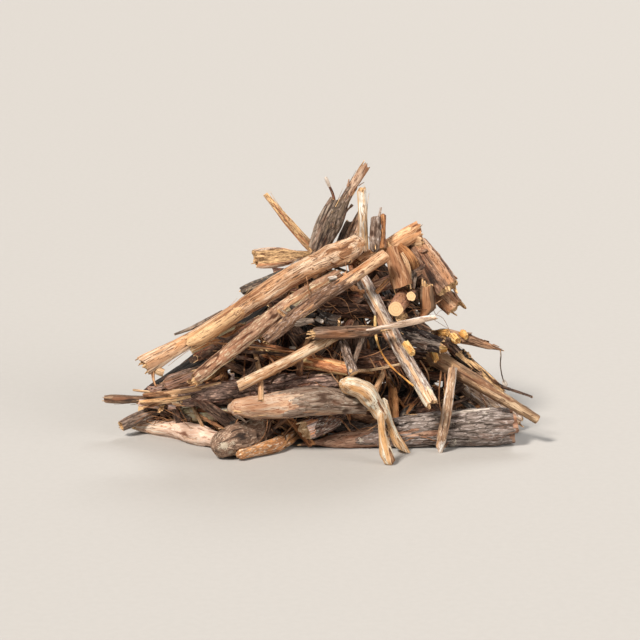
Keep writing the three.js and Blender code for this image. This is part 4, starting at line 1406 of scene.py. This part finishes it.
@dataclass
class Litter:
    """Small twigs, bark scraps and root hairs that lie in the gaps between the sticks."""

    cores: dict[str, Core]
    scraps: int = 190
    twigs: int = 230
    hairs: int = 330
    front: float = -45 * MM  # no broad scrap lies nearer the front slope than this
    placed: list[tuple[Values, Values, float]] = field(default_factory=list)

    def __post_init__(self) -> None:
        """Gathers the walls of all the sticks."""
        corners, faces = [], []
        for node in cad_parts.values():
            start = len(corners)
            corners += [v.co.copy() for v in node.data.vertices]
            faces += [tuple(i + start for i in f.vertices) for f in node.data.polygons]
        self.walls = BVHTree.FromPolygons(corners, faces)
        self.random = np.random.default_rng(LITTER_SEED)
        spiral = np.arange(SKY_WAYS) + 0.5
        rise, angle = -0.25 + 1.25 * spiral / SKY_WAYS, spiral * SKY_TURN
        flat = np.sqrt(1 - rise**2)
        self.sky = np.stack([flat * np.cos(angle), flat * np.sin(angle), rise], 1)

    def _reach(self, start: Values, way: Values, longest: float) -> float | None:
        """How far it is from a point to the first stick, if it is nearer than `longest`."""
        hit = self.walls.ray_cast(Vector(start), Vector(way), longest)
        return hit[3] if hit[0] is not None else None

    def _open(self, spot: Values) -> float:
        """The share of directions in which nothing hides a point."""
        return sum(self._reach(spot, way, SKY_REACH) is None for way in self.sky) / len(self.sky)

    def _start(self) -> tuple[Values, Values]:
        """A random place on a stick's skin, and the way that it faces."""
        names = list(self.cores)
        core = self.cores[names[int(self.random.integers(len(names)))]]
        at, turn = self.random.uniform(0.03, 0.97), self.random.uniform(0, 360)
        spot = core.spot(at, turn, 0.4 * MM)
        facing = spot - core.spot(at, turn, -1 * MM)
        return spot, facing / np.linalg.norm(facing)

    def bridge(
        self, shortest: float, longest: float, girth: float, hidden: float
    ) -> tuple[Values, Values] | None:
        """A straight free way from one stick to another.

        Args:
            shortest: The least distance, in metres.
            longest: The greatest distance.
            girth: The half-thickness that must be free round the way.
            hidden: The most open that its middle may be, from 0 to 1.

        Returns:
            Its two ends, or None where the try came to nothing.
        """
        start, facing = self._start()
        way = self.random.normal(size=3) * np.array([1.0, 0.8, 0.45])
        way /= np.linalg.norm(way)
        if way @ facing < 0.1 or start[2] < girth:
            return None
        far = self._reach(start, way, longest)
        if far is None or far < shortest:
            return None
        side, out = Run.across(way)
        for angle in np.arange(4) * TURN / 4:
            edge = start + (math.cos(angle) * side + math.sin(angle) * out) * girth
            near = self._reach(edge + way * girth, way, far)
            if near is not None and near < 0.7 * far:
                return None
        end = start + way * far
        if min(start[2], end[2]) < girth or self._open((start + end) / 2) > hidden:
            return None
        return start, end

    def _clear(self, start: Values, end: Values, girth: float) -> bool:
        """Whether a twig keeps off those that are already in place."""
        own = start + (end - start) * np.linspace(0.1, 0.9, 7)[:, None]
        for a, b, other in self.placed:
            theirs = a + (b - a) * np.linspace(0, 1, 9)[:, None]
            gaps = np.linalg.norm(own[:, None] - theirs[None], axis=2)
            if gaps.min() < (girth + other) * 0.8:
                return False
        return True

    def lay(
        self, count: int, girths: Sequence[float], thin: float, hidden: float, odds: dict[str, float]
    ) -> None:
        """Lays one sort of twig or scrap in the gaps.

        Args:
            count: How many.
            girths: The least and the greatest half-width, in millimetres.
            thin: The thickness as a share of the width.
            hidden: The most open that a gap may be, from 0 to 1.
            odds: How often each kind comes.
        """
        made: dict[str, list[Shape]] = {kind: [] for kind in odds}
        done = tries = 0
        while done < count and tries < MOST_TRIES:
            tries += 1
            girth = girths[0] * (girths[1] / girths[0]) ** self.random.uniform(0, 1) * MM
            way = self.bridge(7 * MM, 60 * MM, girth * (0.4 + 0.6 * thin), hidden)
            if way is None or not self._clear(*way, girth * thin):
                continue
            start, end = way
            if thin < 1 and min(start[1] - 0.3 * start[2], end[1] - 0.3 * end[2]) < self.front:
                continue
            done += 1
            self.placed.append((start, end, girth * thin))
            over = (end - start) / np.linalg.norm(end - start) * girth
            middle = (start + end) / 2 + self.random.normal(size=3) * 0.03 * np.linalg.norm(end - start)
            kind = str(self.random.choice(list(odds), p=list(odds.values())))
            sizes = girth * self.random.uniform(0.6, 1.0, 3)
            twig = Stick(
                "twig", KINDS[kind], splinters=0, seed=TWIG_SEEDS + len(self.placed),
                core=Path([start - over, middle, end + over], sizes, thin),
                face=0.9 * MM, ring=2.0 * MM,
            )
            made[kind].append(twig.body())
        for kind, shapes in made.items():
            if shapes:
                sort = "scraps" if thin < 1 else "twigs"
                Shape.joined(shapes).build(f"inner_{sort}_{kind}", KINDS[kind])
        LOG.info("laid %d in %d tries", done, tries)

    def string(self) -> None:
        """Strings the root hairs and bast fibres from stick to stick."""
        shapes: list[Shape] = []
        tries = 0
        while len(shapes) < self.hairs and tries < MOST_TRIES:
            tries += 1
            girth = self.random.uniform(0.12, 0.27) * MM
            way = self.bridge(5 * MM, 38 * MM, girth, HAIR_OPEN)
            if way is None:
                continue
            start, end = way
            long = np.linalg.norm(end - start)
            bends = self.random.normal(size=(3, 3)) * 0.12 * long
            stops = [
                start + (end - start) * share + bend
                for share, bend in zip((0.25, 0.5, 0.75), bends)
            ]
            over = (end - start) / long * 2 * MM
            path = Path([start - over, *stops, end + over], (girth, girth * 0.7))
            hair = Stick(
                "hair", KINDS["red"], (End.ROUND, End.ROUND), seed=HAIR_SEEDS + len(shapes),
                core=path, face=0.4 * MM, ring=1.8 * MM,
            )
            shapes.append(hair.body())
        Shape.joined(shapes).build("root_hairs", KINDS["red"])
        LOG.info("root hairs: %d in %d tries", len(shapes), tries)

    def build(self) -> None:
        """Fills the gaps, the broad scraps first."""
        # The broad scraps are dark and black sheets laid only in enclosed gaps, so that these read dark:
        # bark scraps that are also painted shade for the inside of the heap.
        self.lay(self.scraps, (2.5, 6.0), 0.3, 0.43, {"dark": 0.45, "black": 0.25, "brown": 0.3})
        odds = {"dark": 0.32, "brown": 0.3, "grey": 0.18, "pale": 0.14, "red": 0.06}
        self.lay(self.twigs, (0.6, 2.6), 1.0, 0.34, odds)
        self.string()


Spot = tuple[str, float, float, float]  # a stick, the share along it, degrees round, millimetres off


@dataclass(frozen=True)
class Scrap:
    """A small twig, sliver, chip or fibre, laid through places on the sticks."""

    name: str
    kind: str
    spots: tuple[Spot, ...]
    girths: tuple[float, ...]  # half-widths in millimetres, from the start to the end
    thin: float = 1.0
    ends: tuple[End, End] = (End.SNAPPED, End.SNAPPED)


@dataclass
class Scraps:
    """The small pieces that lie in sight, each in its own place."""

    cores: dict[str, Core]

    def plans(self) -> Iterable[Scrap]:
        """The pieces, from the top of the heap down."""
        tall, lich, slab = "tall_splintered_branch", "lichen_stub", "striped_bark_slab"
        pale, stripe, ash = "long_pale_branch", "striped_grey_branch", "grey_white_stick"
        shard, right, log = "pointed_bark_shard", "long_right_stick", "grey_bark_log"
        mid, low, up, root = "inner_middle_log", "inner_low_log", "inner_upper_log", "left_inner_root"
        flare, small, cut = "brown_flared_stub", "small_round_cut_stick", "round_cut_stick"
        orange, tan, shell = "orange_brown_branch", "tan_diagonal_branch", "split_bark_shell"
        fibre, both = "brown_fibrous_branch", (End.ROUND, End.ROUND)
        yield Scrap("whisker", "dark", ((tall, 0.5, -3, -1), (tall, 0.61, -3, 4.1),
            (tall, 0.65, -3, 8.8)), (0.9, 0.7))
        yield Scrap("whisker_tip", "papery", ((tall, 0.645, -3, 8.4), (tall, 0.71, -11, 13.7)),
            (0.8, 1.2, 0.9))
        yield Scrap("lichen_side_twig", "brown", ((lich, 0.92, 8, 2.6), (lich, 0.5, 0, 2.4),
            (lich, 0.1, 0, 2.2), (lich, -0.1, -5, 1.6)), (2.4, 1.3, 1.2, 1.8), 1.0,
            (End.SNAPPED, End.ROUND))
        yield Scrap("slab_edge_bark", "grey", ((slab, 0.0, 173, 0.6), (slab, 0.25, 173, 2.2),
            (small, 0.3, 60, 1.0)), (2.2, 3.6, 1.6), 0.4)
        yield Scrap("slab_top_chip", "pale", ((slab, -0.06, 150, 0.8), (slab, 0.0, 80, 1.0),
            (slab, 0.12, 50, 0.8)), (2.8, 4.6, 3.0), 0.35)
        yield Scrap("flared_side_shard", "pale", ((flare, 0.2, 2, 1.4), (flare, 0.56, -5, 2.4),
            (small, 0.45, 11, 1.8)), (1.0, 1.6, 1.0), 0.5)
        yield Scrap("red_bark_strip", "red", ((stripe, 0.69, -5, 1.5), (stripe, 0.66, 120, 1.2),
            (ash, 0.12, -120, 1.5), (ash, 0.24, -150, 2)), (1.2, 2.0, 2.0, 1.0), 0.4)
        yield Scrap("small_cross_twig", "brown", ((ash, 0.17, 37, 0.5), (flare, 0.73, 163, 0.8)),
            (1.5, 1.2))
        yield Scrap("nest_chunk", "dark", ((up, 0.92, 20, 0.5), (cut, 0.05, -120, 1.5)), (2.8, 3.2))
        yield Scrap("branch_knot_rim", "pale", ((pale, 0.915, 133, -1.5), (pale, 0.915, 133, 1.1)),
            (2.2, 2.1), 1.0, (End.SNAPPED, End.SAWN))
        # Painted shade: a dark plug inside the rim, where the cut branch leaves a hole.
        yield Scrap("branch_knot_heart", "dark", ((pale, 0.915, 133, -1), (pale, 0.915, 133, 1.35)),
            (1.3, 1.3), 1.0, both)
        yield Scrap("branch_top_twig", "grey", ((pale, 0.165, -20, 2.2), (pale, 0.24, -40, 1.2),
            (pale, 0.38, -60, 1.0)), (0.5, 1.3, 1.5))
        yield Scrap("branch_hanging_shred", "red", ((pale, 0.02, 150, -0.5), (pale, 0.0, 163, 3.7),
            (pale, 0.0, 165, 8.5)), (1.4, 0.9, 0.5))
        yield Scrap("branch_hanging_chunk", "pale", ((pale, 0.03, 150, -0.5), (pale, 0.05, 168, 3.0)),
            (2.4, 2.4))
        for number in range(11):
            at, turn = 0.78 + 0.016 * number, 15 + number * 53 % 130
            yield Scrap(f"head_fibre_{number}", "red", ((pale, at, turn, 0.1),
                (pale, at + 0.012, turn + 22, 1.5), (pale, at + 0.03, turn + 40, 1.2),
                (pale, at + 0.035, turn + 55, 0.1)), (0.35, 0.28))
        yield Scrap("branch_fibre", "red", ((pale, 0.75, -10, 0.3), (pale, 0.74, 27, 0.5),
            (pale, 0.735, 90, 0.5), (pale, 0.73, 147, 0.8), (stripe, 0.39, 50, 0.3)), (0.4, 0.4))
        yield Scrap("flake_strip", "grey", ((tan, 0.59, 60, 0.8), (stripe, 0.22, 129, 1.2),
            (fibre, 0.0, 0, 5)), (0.8, 2.4, 2.6, 1.0), 0.35)
        yield Scrap("flake_strip_upper", "black", ((tan, 0.66, 90, 0.6), (stripe, 0.3, 129, 1.0),
            (stripe, 0.36, 170, 1.5)), (0.9, 2.2, 2.0), 0.35)
        yield Scrap("cross_shard", "dark", ((ash, 0.29, 118, 0.8), (ash, 0.42, 150, 1.0),
            (ash, 0.54, 159, 0.6)), (0.6, 1.8, 1.4, 0.5), 0.5)
        yield Scrap("yellow_fibre", "chip", ((ash, 0.30, 160, 0.3), (ash, 0.40, 175, 5.5),
            (ash, 0.52, 178, 7.5), (ash, 0.64, 175, 6.5), (ash, 0.75, 165, 3), (ash, 0.84, 150, 0.3)),
            (0.75, 0.6, 0.5))
        for number, (spots, size) in enumerate((
            (((shard, 0.10, 60, 1.0), (shard, 0.24, 60, 3.0)), 2.6),
            (((shard, 0.30, 80, 0.5), (shard, 0.40, 100, 3.5)), 2.4),
            (((right, 0.02, 20, 1.0), (right, 0.10, 10, 4.0)), 2.9),
            (((shard, 0.42, 20, 0.5), (shard, 0.50, 60, 2.4)), 2.0),
            (((ash, 0.57, 40, 2.0), (ash, 0.66, 40, 3.2)), 2.4),
            (((right, 0.04, 60, 0.5), (right, 0.09, 85, 3.0)), 2.0),
            (((mid, 0.69, 0, 3), (mid, 0.78, 10, 5)), 1.9),
        )):
            yield Scrap(f"yellow_chip_{number}", "chip", spots, (size, size * 0.9))
        yield Scrap("tan_rest_twig", "pale", (("small_grey_stub", 0.93, 106, 0.8), (mid, 0.71, 97, 4),
            (mid, 0.88, 75, 4)), (1.2, 1.0, 0.8))
        yield Scrap("curled_twig", "brown", ((mid, 0.80, 120, 3), (low, 0.76, 20, 9), (low, 0.80, 40, 5),
            (low, 0.83, 60, 1)), (1.6, 1.3, 0.8))
        for number in range(16):
            at, turn = 0.70 + 0.017 * number, number * 37 % 50
            yield Scrap(f"tangle_fibre_{number}", ("red", "brown", "dark")[number % 3],
                ((mid, at, 60 + turn, 1.5), (mid, at + 0.04, 90 + turn, 6 + number % 4),
                (low, at - 0.02 + 0.001 * turn, 20, 10 - number % 5), (low, at - 0.05, 50, 1.0)),
                (0.5 + 0.1 * (number % 3), 0.5, 0.3))
        flaky = "flaky_dark_chunk"
        for number, (spots, size) in enumerate((
            (((tan, 0.93, 75, 0.3), (tan, 0.97, 95, 2.6)), 1.5),
            (((flaky, 0.52, 80, 0.2), (flaky, 0.70, 95, 1.8)), 1.7),
            (((mid, 0.30, 20, 1.0), (mid, 0.33, 30, 2.4)), 1.2),
            (((mid, 0.36, 10, 0.8), (mid, 0.39, 24, 2.4)), 1.1),
            (((up, 0.70, 30, 0.5), (up, 0.76, 40, 2.2)), 1.3),
            (((low, 0.66, 30, 1.0), (low, 0.69, 40, 3.0)), 1.4),
        )):
            yield Scrap(f"pale_chip_{number}", "papery", spots, (size, size * 0.8), 0.6)
        yield Scrap("left_arc_fibre", "red", ((orange, 0.02, 60, 2), (orange, 0.03, 29, 4),
            (orange, 0.09, 0, 3), (orange, 0.17, 10, 1.0)), (0.45, 0.4))
        yield Scrap("left_hanging_fibre", "red", ((orange, 0.05, 30, 4), (orange, 0.01, 80, 4),
            (mid, 0.07, 93, 6), ("pale_cut_stick", 0.08, 40, 0.5)), (0.5, 0.4))
        for number, at in enumerate((0.15, 0.185)):
            yield Scrap(f"hanging_root_{number}", "red", ((right, at, 150, 0.3), (log, at + 0.50, -10, 7),
                (log, at + 0.51, 0, 1)), (0.6, 0.45))
        yield Scrap("papery_flake", "papery", ((log, 0.62, 30, 0.2), (log, 0.76, 24, 0.9),
            (log, 0.88, 15, 0.5)), (0.7, 1.5, 0.8), 0.3)
        yield Scrap("right_dark_twig", "dark", ((shell, 0.93, 48, 0.5), (right, 0.74, -14, 4.7),
            (right, 0.87, -9, 7.1)), (0.9, 0.8, 0.6))
        yield Scrap("wavy_fibre", "grey", ((shard, 0.95, 41, 0.3), (shard, 1.0, 41, 0.5),
            (shard, 1.0, 165, 6.5), (shell, 0.88, 1, 2.2), (shell, 1.0, 12, 0.2)), (0.35, 0.3, 0.35))
        yield Scrap("fibre_flake", "papery", ((shell, 0.90, 10, 2.2), (shell, 0.99, 20, 1.0)),
            (1.2, 1.9, 1.0), 0.35)
        far, dark, heart, burl = "far_left_stick", "dark_furrowed_log", "splintered_heartwood", "mossy_burl"
        yield Scrap("red_sliver", "red", ((root, 0.56, 46, 1.0), (root, 0.71, 58, 1.6),
            (root, 0.86, 95, 1.2)), (1.2, 1.5, 0.8), 0.6)
        yield Scrap("red_sliver_lower", "red", ((root, 0.54, 59, 1.6), (root, 0.64, 111, 1.5),
            (burl, 0.17, -10, 0.8)), (1.0, 1.3, 0.8), 0.6)
        yield Scrap("grey_left_piece", "grey", (("grey_left_stub", 0.73, 121, 0.8), (root, 0.33, 56, 1.2),
            (root, 0.50, 94, 1.2)), (1.3, 1.8, 1.2))
        yield Scrap("heart_splinter_0", "pale", ((far, 0.56, 17, 1.0), (dark, 0.04, 47, 1.4),
            (dark, 0.19, 43, 1.0)), (1.3, 1.9, 0.8), 0.6)
        yield Scrap("heart_splinter_1", "limb", ((heart, 0.04, 61, 0.6), (dark, 0.04, 81, 1.2),
            (dark, 0.12, 75, 0.8)), (1.2, 1.7, 0.9), 0.6)
        yield Scrap("heart_splinter_2", "pale", ((heart, 0.12, 142, 0.6), (heart, 0.84, 28, 1.4),
            (dark, 0.06, 100, 0.8)), (1.0, 1.5, 0.9), 0.6)
        yield Scrap("branch_side_limb", "limb", ((pale, 0.20, 131, -3.5), (pale, 0.27, 121, -2.6),
            (pale, 0.37, 100, -3.2), (pale, 0.47, 80, -5.0)), (4.6, 5.0, 5.0, 4.5))
        yield Scrap("tall_side_slab", "grey", ((tall, 0.05, 10, 0.5), (tall, 0.3, 5, 1.2),
            (tall, 0.56, 0, 1.6)), (3.0, 3.8, 3.2), 0.5)
        plate, lean = "grey_brown_plate", "back_right_leaning_branch"
        yield Scrap("back_bark_plate", "grey", ((plate, 0.08, -30, 0.5), (plate, 0.35, -20, 1.0),
            (plate, 0.6, -11, 1.3)), (3.6, 3.2, 2.2), 0.4)
        # The filling slabs and inner plates close gaps with dark bark: bark that is also painted shade for
        # the inside of the heap.
        yield Scrap("right_filling_slab", "brown", (("orange_tan_slab", 0.58, 129, 1.0),
            (flare, 0.39, -1, 4.4), (small, 1.0, -12, 0.8)), (3.0, 5.5, 4.0), 0.3)
        yield Scrap("middle_filling_slab", "dark", ((lean, 0.10, -14, 2.0), (lean, 0.25, -14, 2.8),
            (lean, 0.36, 23, 1.0)), (4.0, 5.0, 4.0), 0.4)
        for number, (low_at, top_at) in enumerate(
            ((0.27, 0.10), (0.38, 0.27), (0.50, 0.47), (0.63, 0.66), (0.75, 0.83), (0.84, 0.97))
        ):
            yield Scrap(f"inner_plate_{number}", ("dark", "black", "brown")[number % 3],
                ((mid, low_at, 10, 0.5), (mid, low_at, 8, 9), (up, top_at, 172, 0.5)), (7.0, 8.0, 7.0),
                0.28)
        # More dark filling, which is bark and painted shade in the gaps.
        yield Scrap("slab_filling", "dark", ((slab, 0.29, 177, 1.0), (slab, 0.53, 170, 1.5),
            ("frayed_stub", 0.07, 21, 0.5)), (2.5, 3.6, 2.5), 0.4)
        yield Scrap("chip_filling", "dark", (("black_bark_chunk", 0.96, -10, 0), (shard, 0.23, 180, 1.4),
            (shell, 0.06, 74, 0)), (2.5, 3.4, 2.5), 0.4)
        yield Scrap("left_sliver", "pale", ((far, 0.41, -10, 3.5), ("left_side_branch", 0.08, 87, 1.4),
            (dark, 0.10, 42, 1.4), (dark, 0.31, 20, 0.8)), (0.7, 1.0, 1.1, 0.8))

    def build(self) -> None:
        """Makes each piece."""
        for number, plan in enumerate(self.plans()):
            points = [self.cores[node].spot(at, turn, off * MM) for node, at, turn, off in plan.spots]
            stick = Stick(
                plan.name, KINDS[plan.kind], plan.ends, splinters=0, shreds=0, seed=SCRAP_SEEDS + number,
                core=Path(points, [g * MM for g in plan.girths], plan.thin),
                face=0.5 * MM, ring=0.8 * MM,
            )
            stick.body().build(plan.name, KINDS[plan.kind])


@dataclass(frozen=True)
class Studio:
    """The floor, the soft lights and the camera."""

    look_at: tuple[float, float, float] = (0.0001, -0.0104, 0.0711)
    distance: float = 1.5
    elevation: float = 14.0
    sensor: float = 36.0
    lens: float = 140.6
    near: float = 0.05
    far: float = 50.0
    floor_radius: float = 6.0
    room: str = "E4E2DE"  # the light from all round
    room_power: float = 0.36

    def camera(self) -> None:
        """Puts the camera in front of the heap, a little above it."""
        data = bpy.data.cameras.new("camera")
        data.sensor_width, data.lens = self.sensor, self.lens
        data.clip_start, data.clip_end = self.near, self.far
        item = bpy.data.objects.new("camera", data)
        rise = math.radians(self.elevation)
        back = Vector((0, -math.cos(rise), math.sin(rise)))
        item.location = Vector(self.look_at) + back * self.distance
        item.rotation_euler = (math.pi / 2 - rise, 0, 0)
        bpy.context.scene.collection.objects.link(item)
        bpy.context.scene.camera = item

    def floor(self) -> None:
        """Lays a plain pale floor."""
        deselect_all()
        bpy.ops.mesh.primitive_circle_add(vertices=96, radius=self.floor_radius, fill_type="NGON")
        floor = bpy.context.object
        floor.name = "floor"
        material = bpy.data.materials.new("pale_floor")
        material.use_nodes = True
        t = Tree(material.node_tree)
        shader = t.tree.nodes["Principled BSDF"]
        place = t.add("TexCoord").outputs["Object"]
        cloud = t.span(t.noise(place, 240.0, 4.0), 0.3, 0.7)
        t.feed(shader.inputs["Base Color"], t.mix(cloud, tone("A9A7A4"), tone("ABA9A6")))
        shader.inputs["Roughness"].default_value = 0.8
        floor.data.materials.append(material)
        floor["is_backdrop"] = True

    def light(self, name: str, place: Sequence[float], power: float, spread: float, tint: str) -> None:
        """Sets a broad far lamp that faces the heap from a place."""
        data = bpy.data.lights.new(name, "SUN")
        data.angle, data.energy, data.color = math.radians(spread), power, tone(tint)[:3]
        item = bpy.data.objects.new(name, data)
        item.location = place
        item.rotation_euler = (-Vector(place)).to_track_quat("-Z", "Y").to_euler()
        bpy.context.scene.collection.objects.link(item)

    def build(self) -> None:
        """Makes the floor, the lights, the world and the camera."""
        self.floor()
        self.light("key", (-0.75, -1.0, 1.35), 4.9, 12, "FFF6EC")
        self.light("fill", (1.3, -0.9, 0.7), 1.5, 35, "FFFAF6")
        self.light("back", (0.5, 1.3, 1.2), 1.3, 25, "FFFFFF")
        world = bpy.data.worlds.new("room")
        world.use_nodes = True
        shade = world.node_tree.nodes["Background"]
        shade.inputs["Color"].default_value = tone(self.room)
        shade.inputs["Strength"].default_value = self.room_power
        bpy.context.scene.world = world
        bpy.context.scene.view_settings.view_transform = "Standard"
        self.camera()


def main() -> None:
    """Builds the heap, what lies on it, and the studio."""
    logging.basicConfig(level=logging.INFO, format="%(name)s %(message)s")
    heap = Heap()
    heap.build()
    Litter(heap.cores).build()
    Scraps(heap.cores).build()
    Studio().build()
    boxes = {"cad": CAD_BOX, "visual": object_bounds()}
    {key: [list(corner) for corner in box] for key, box in boxes.items()}


if __name__ == "__main__":
    main()
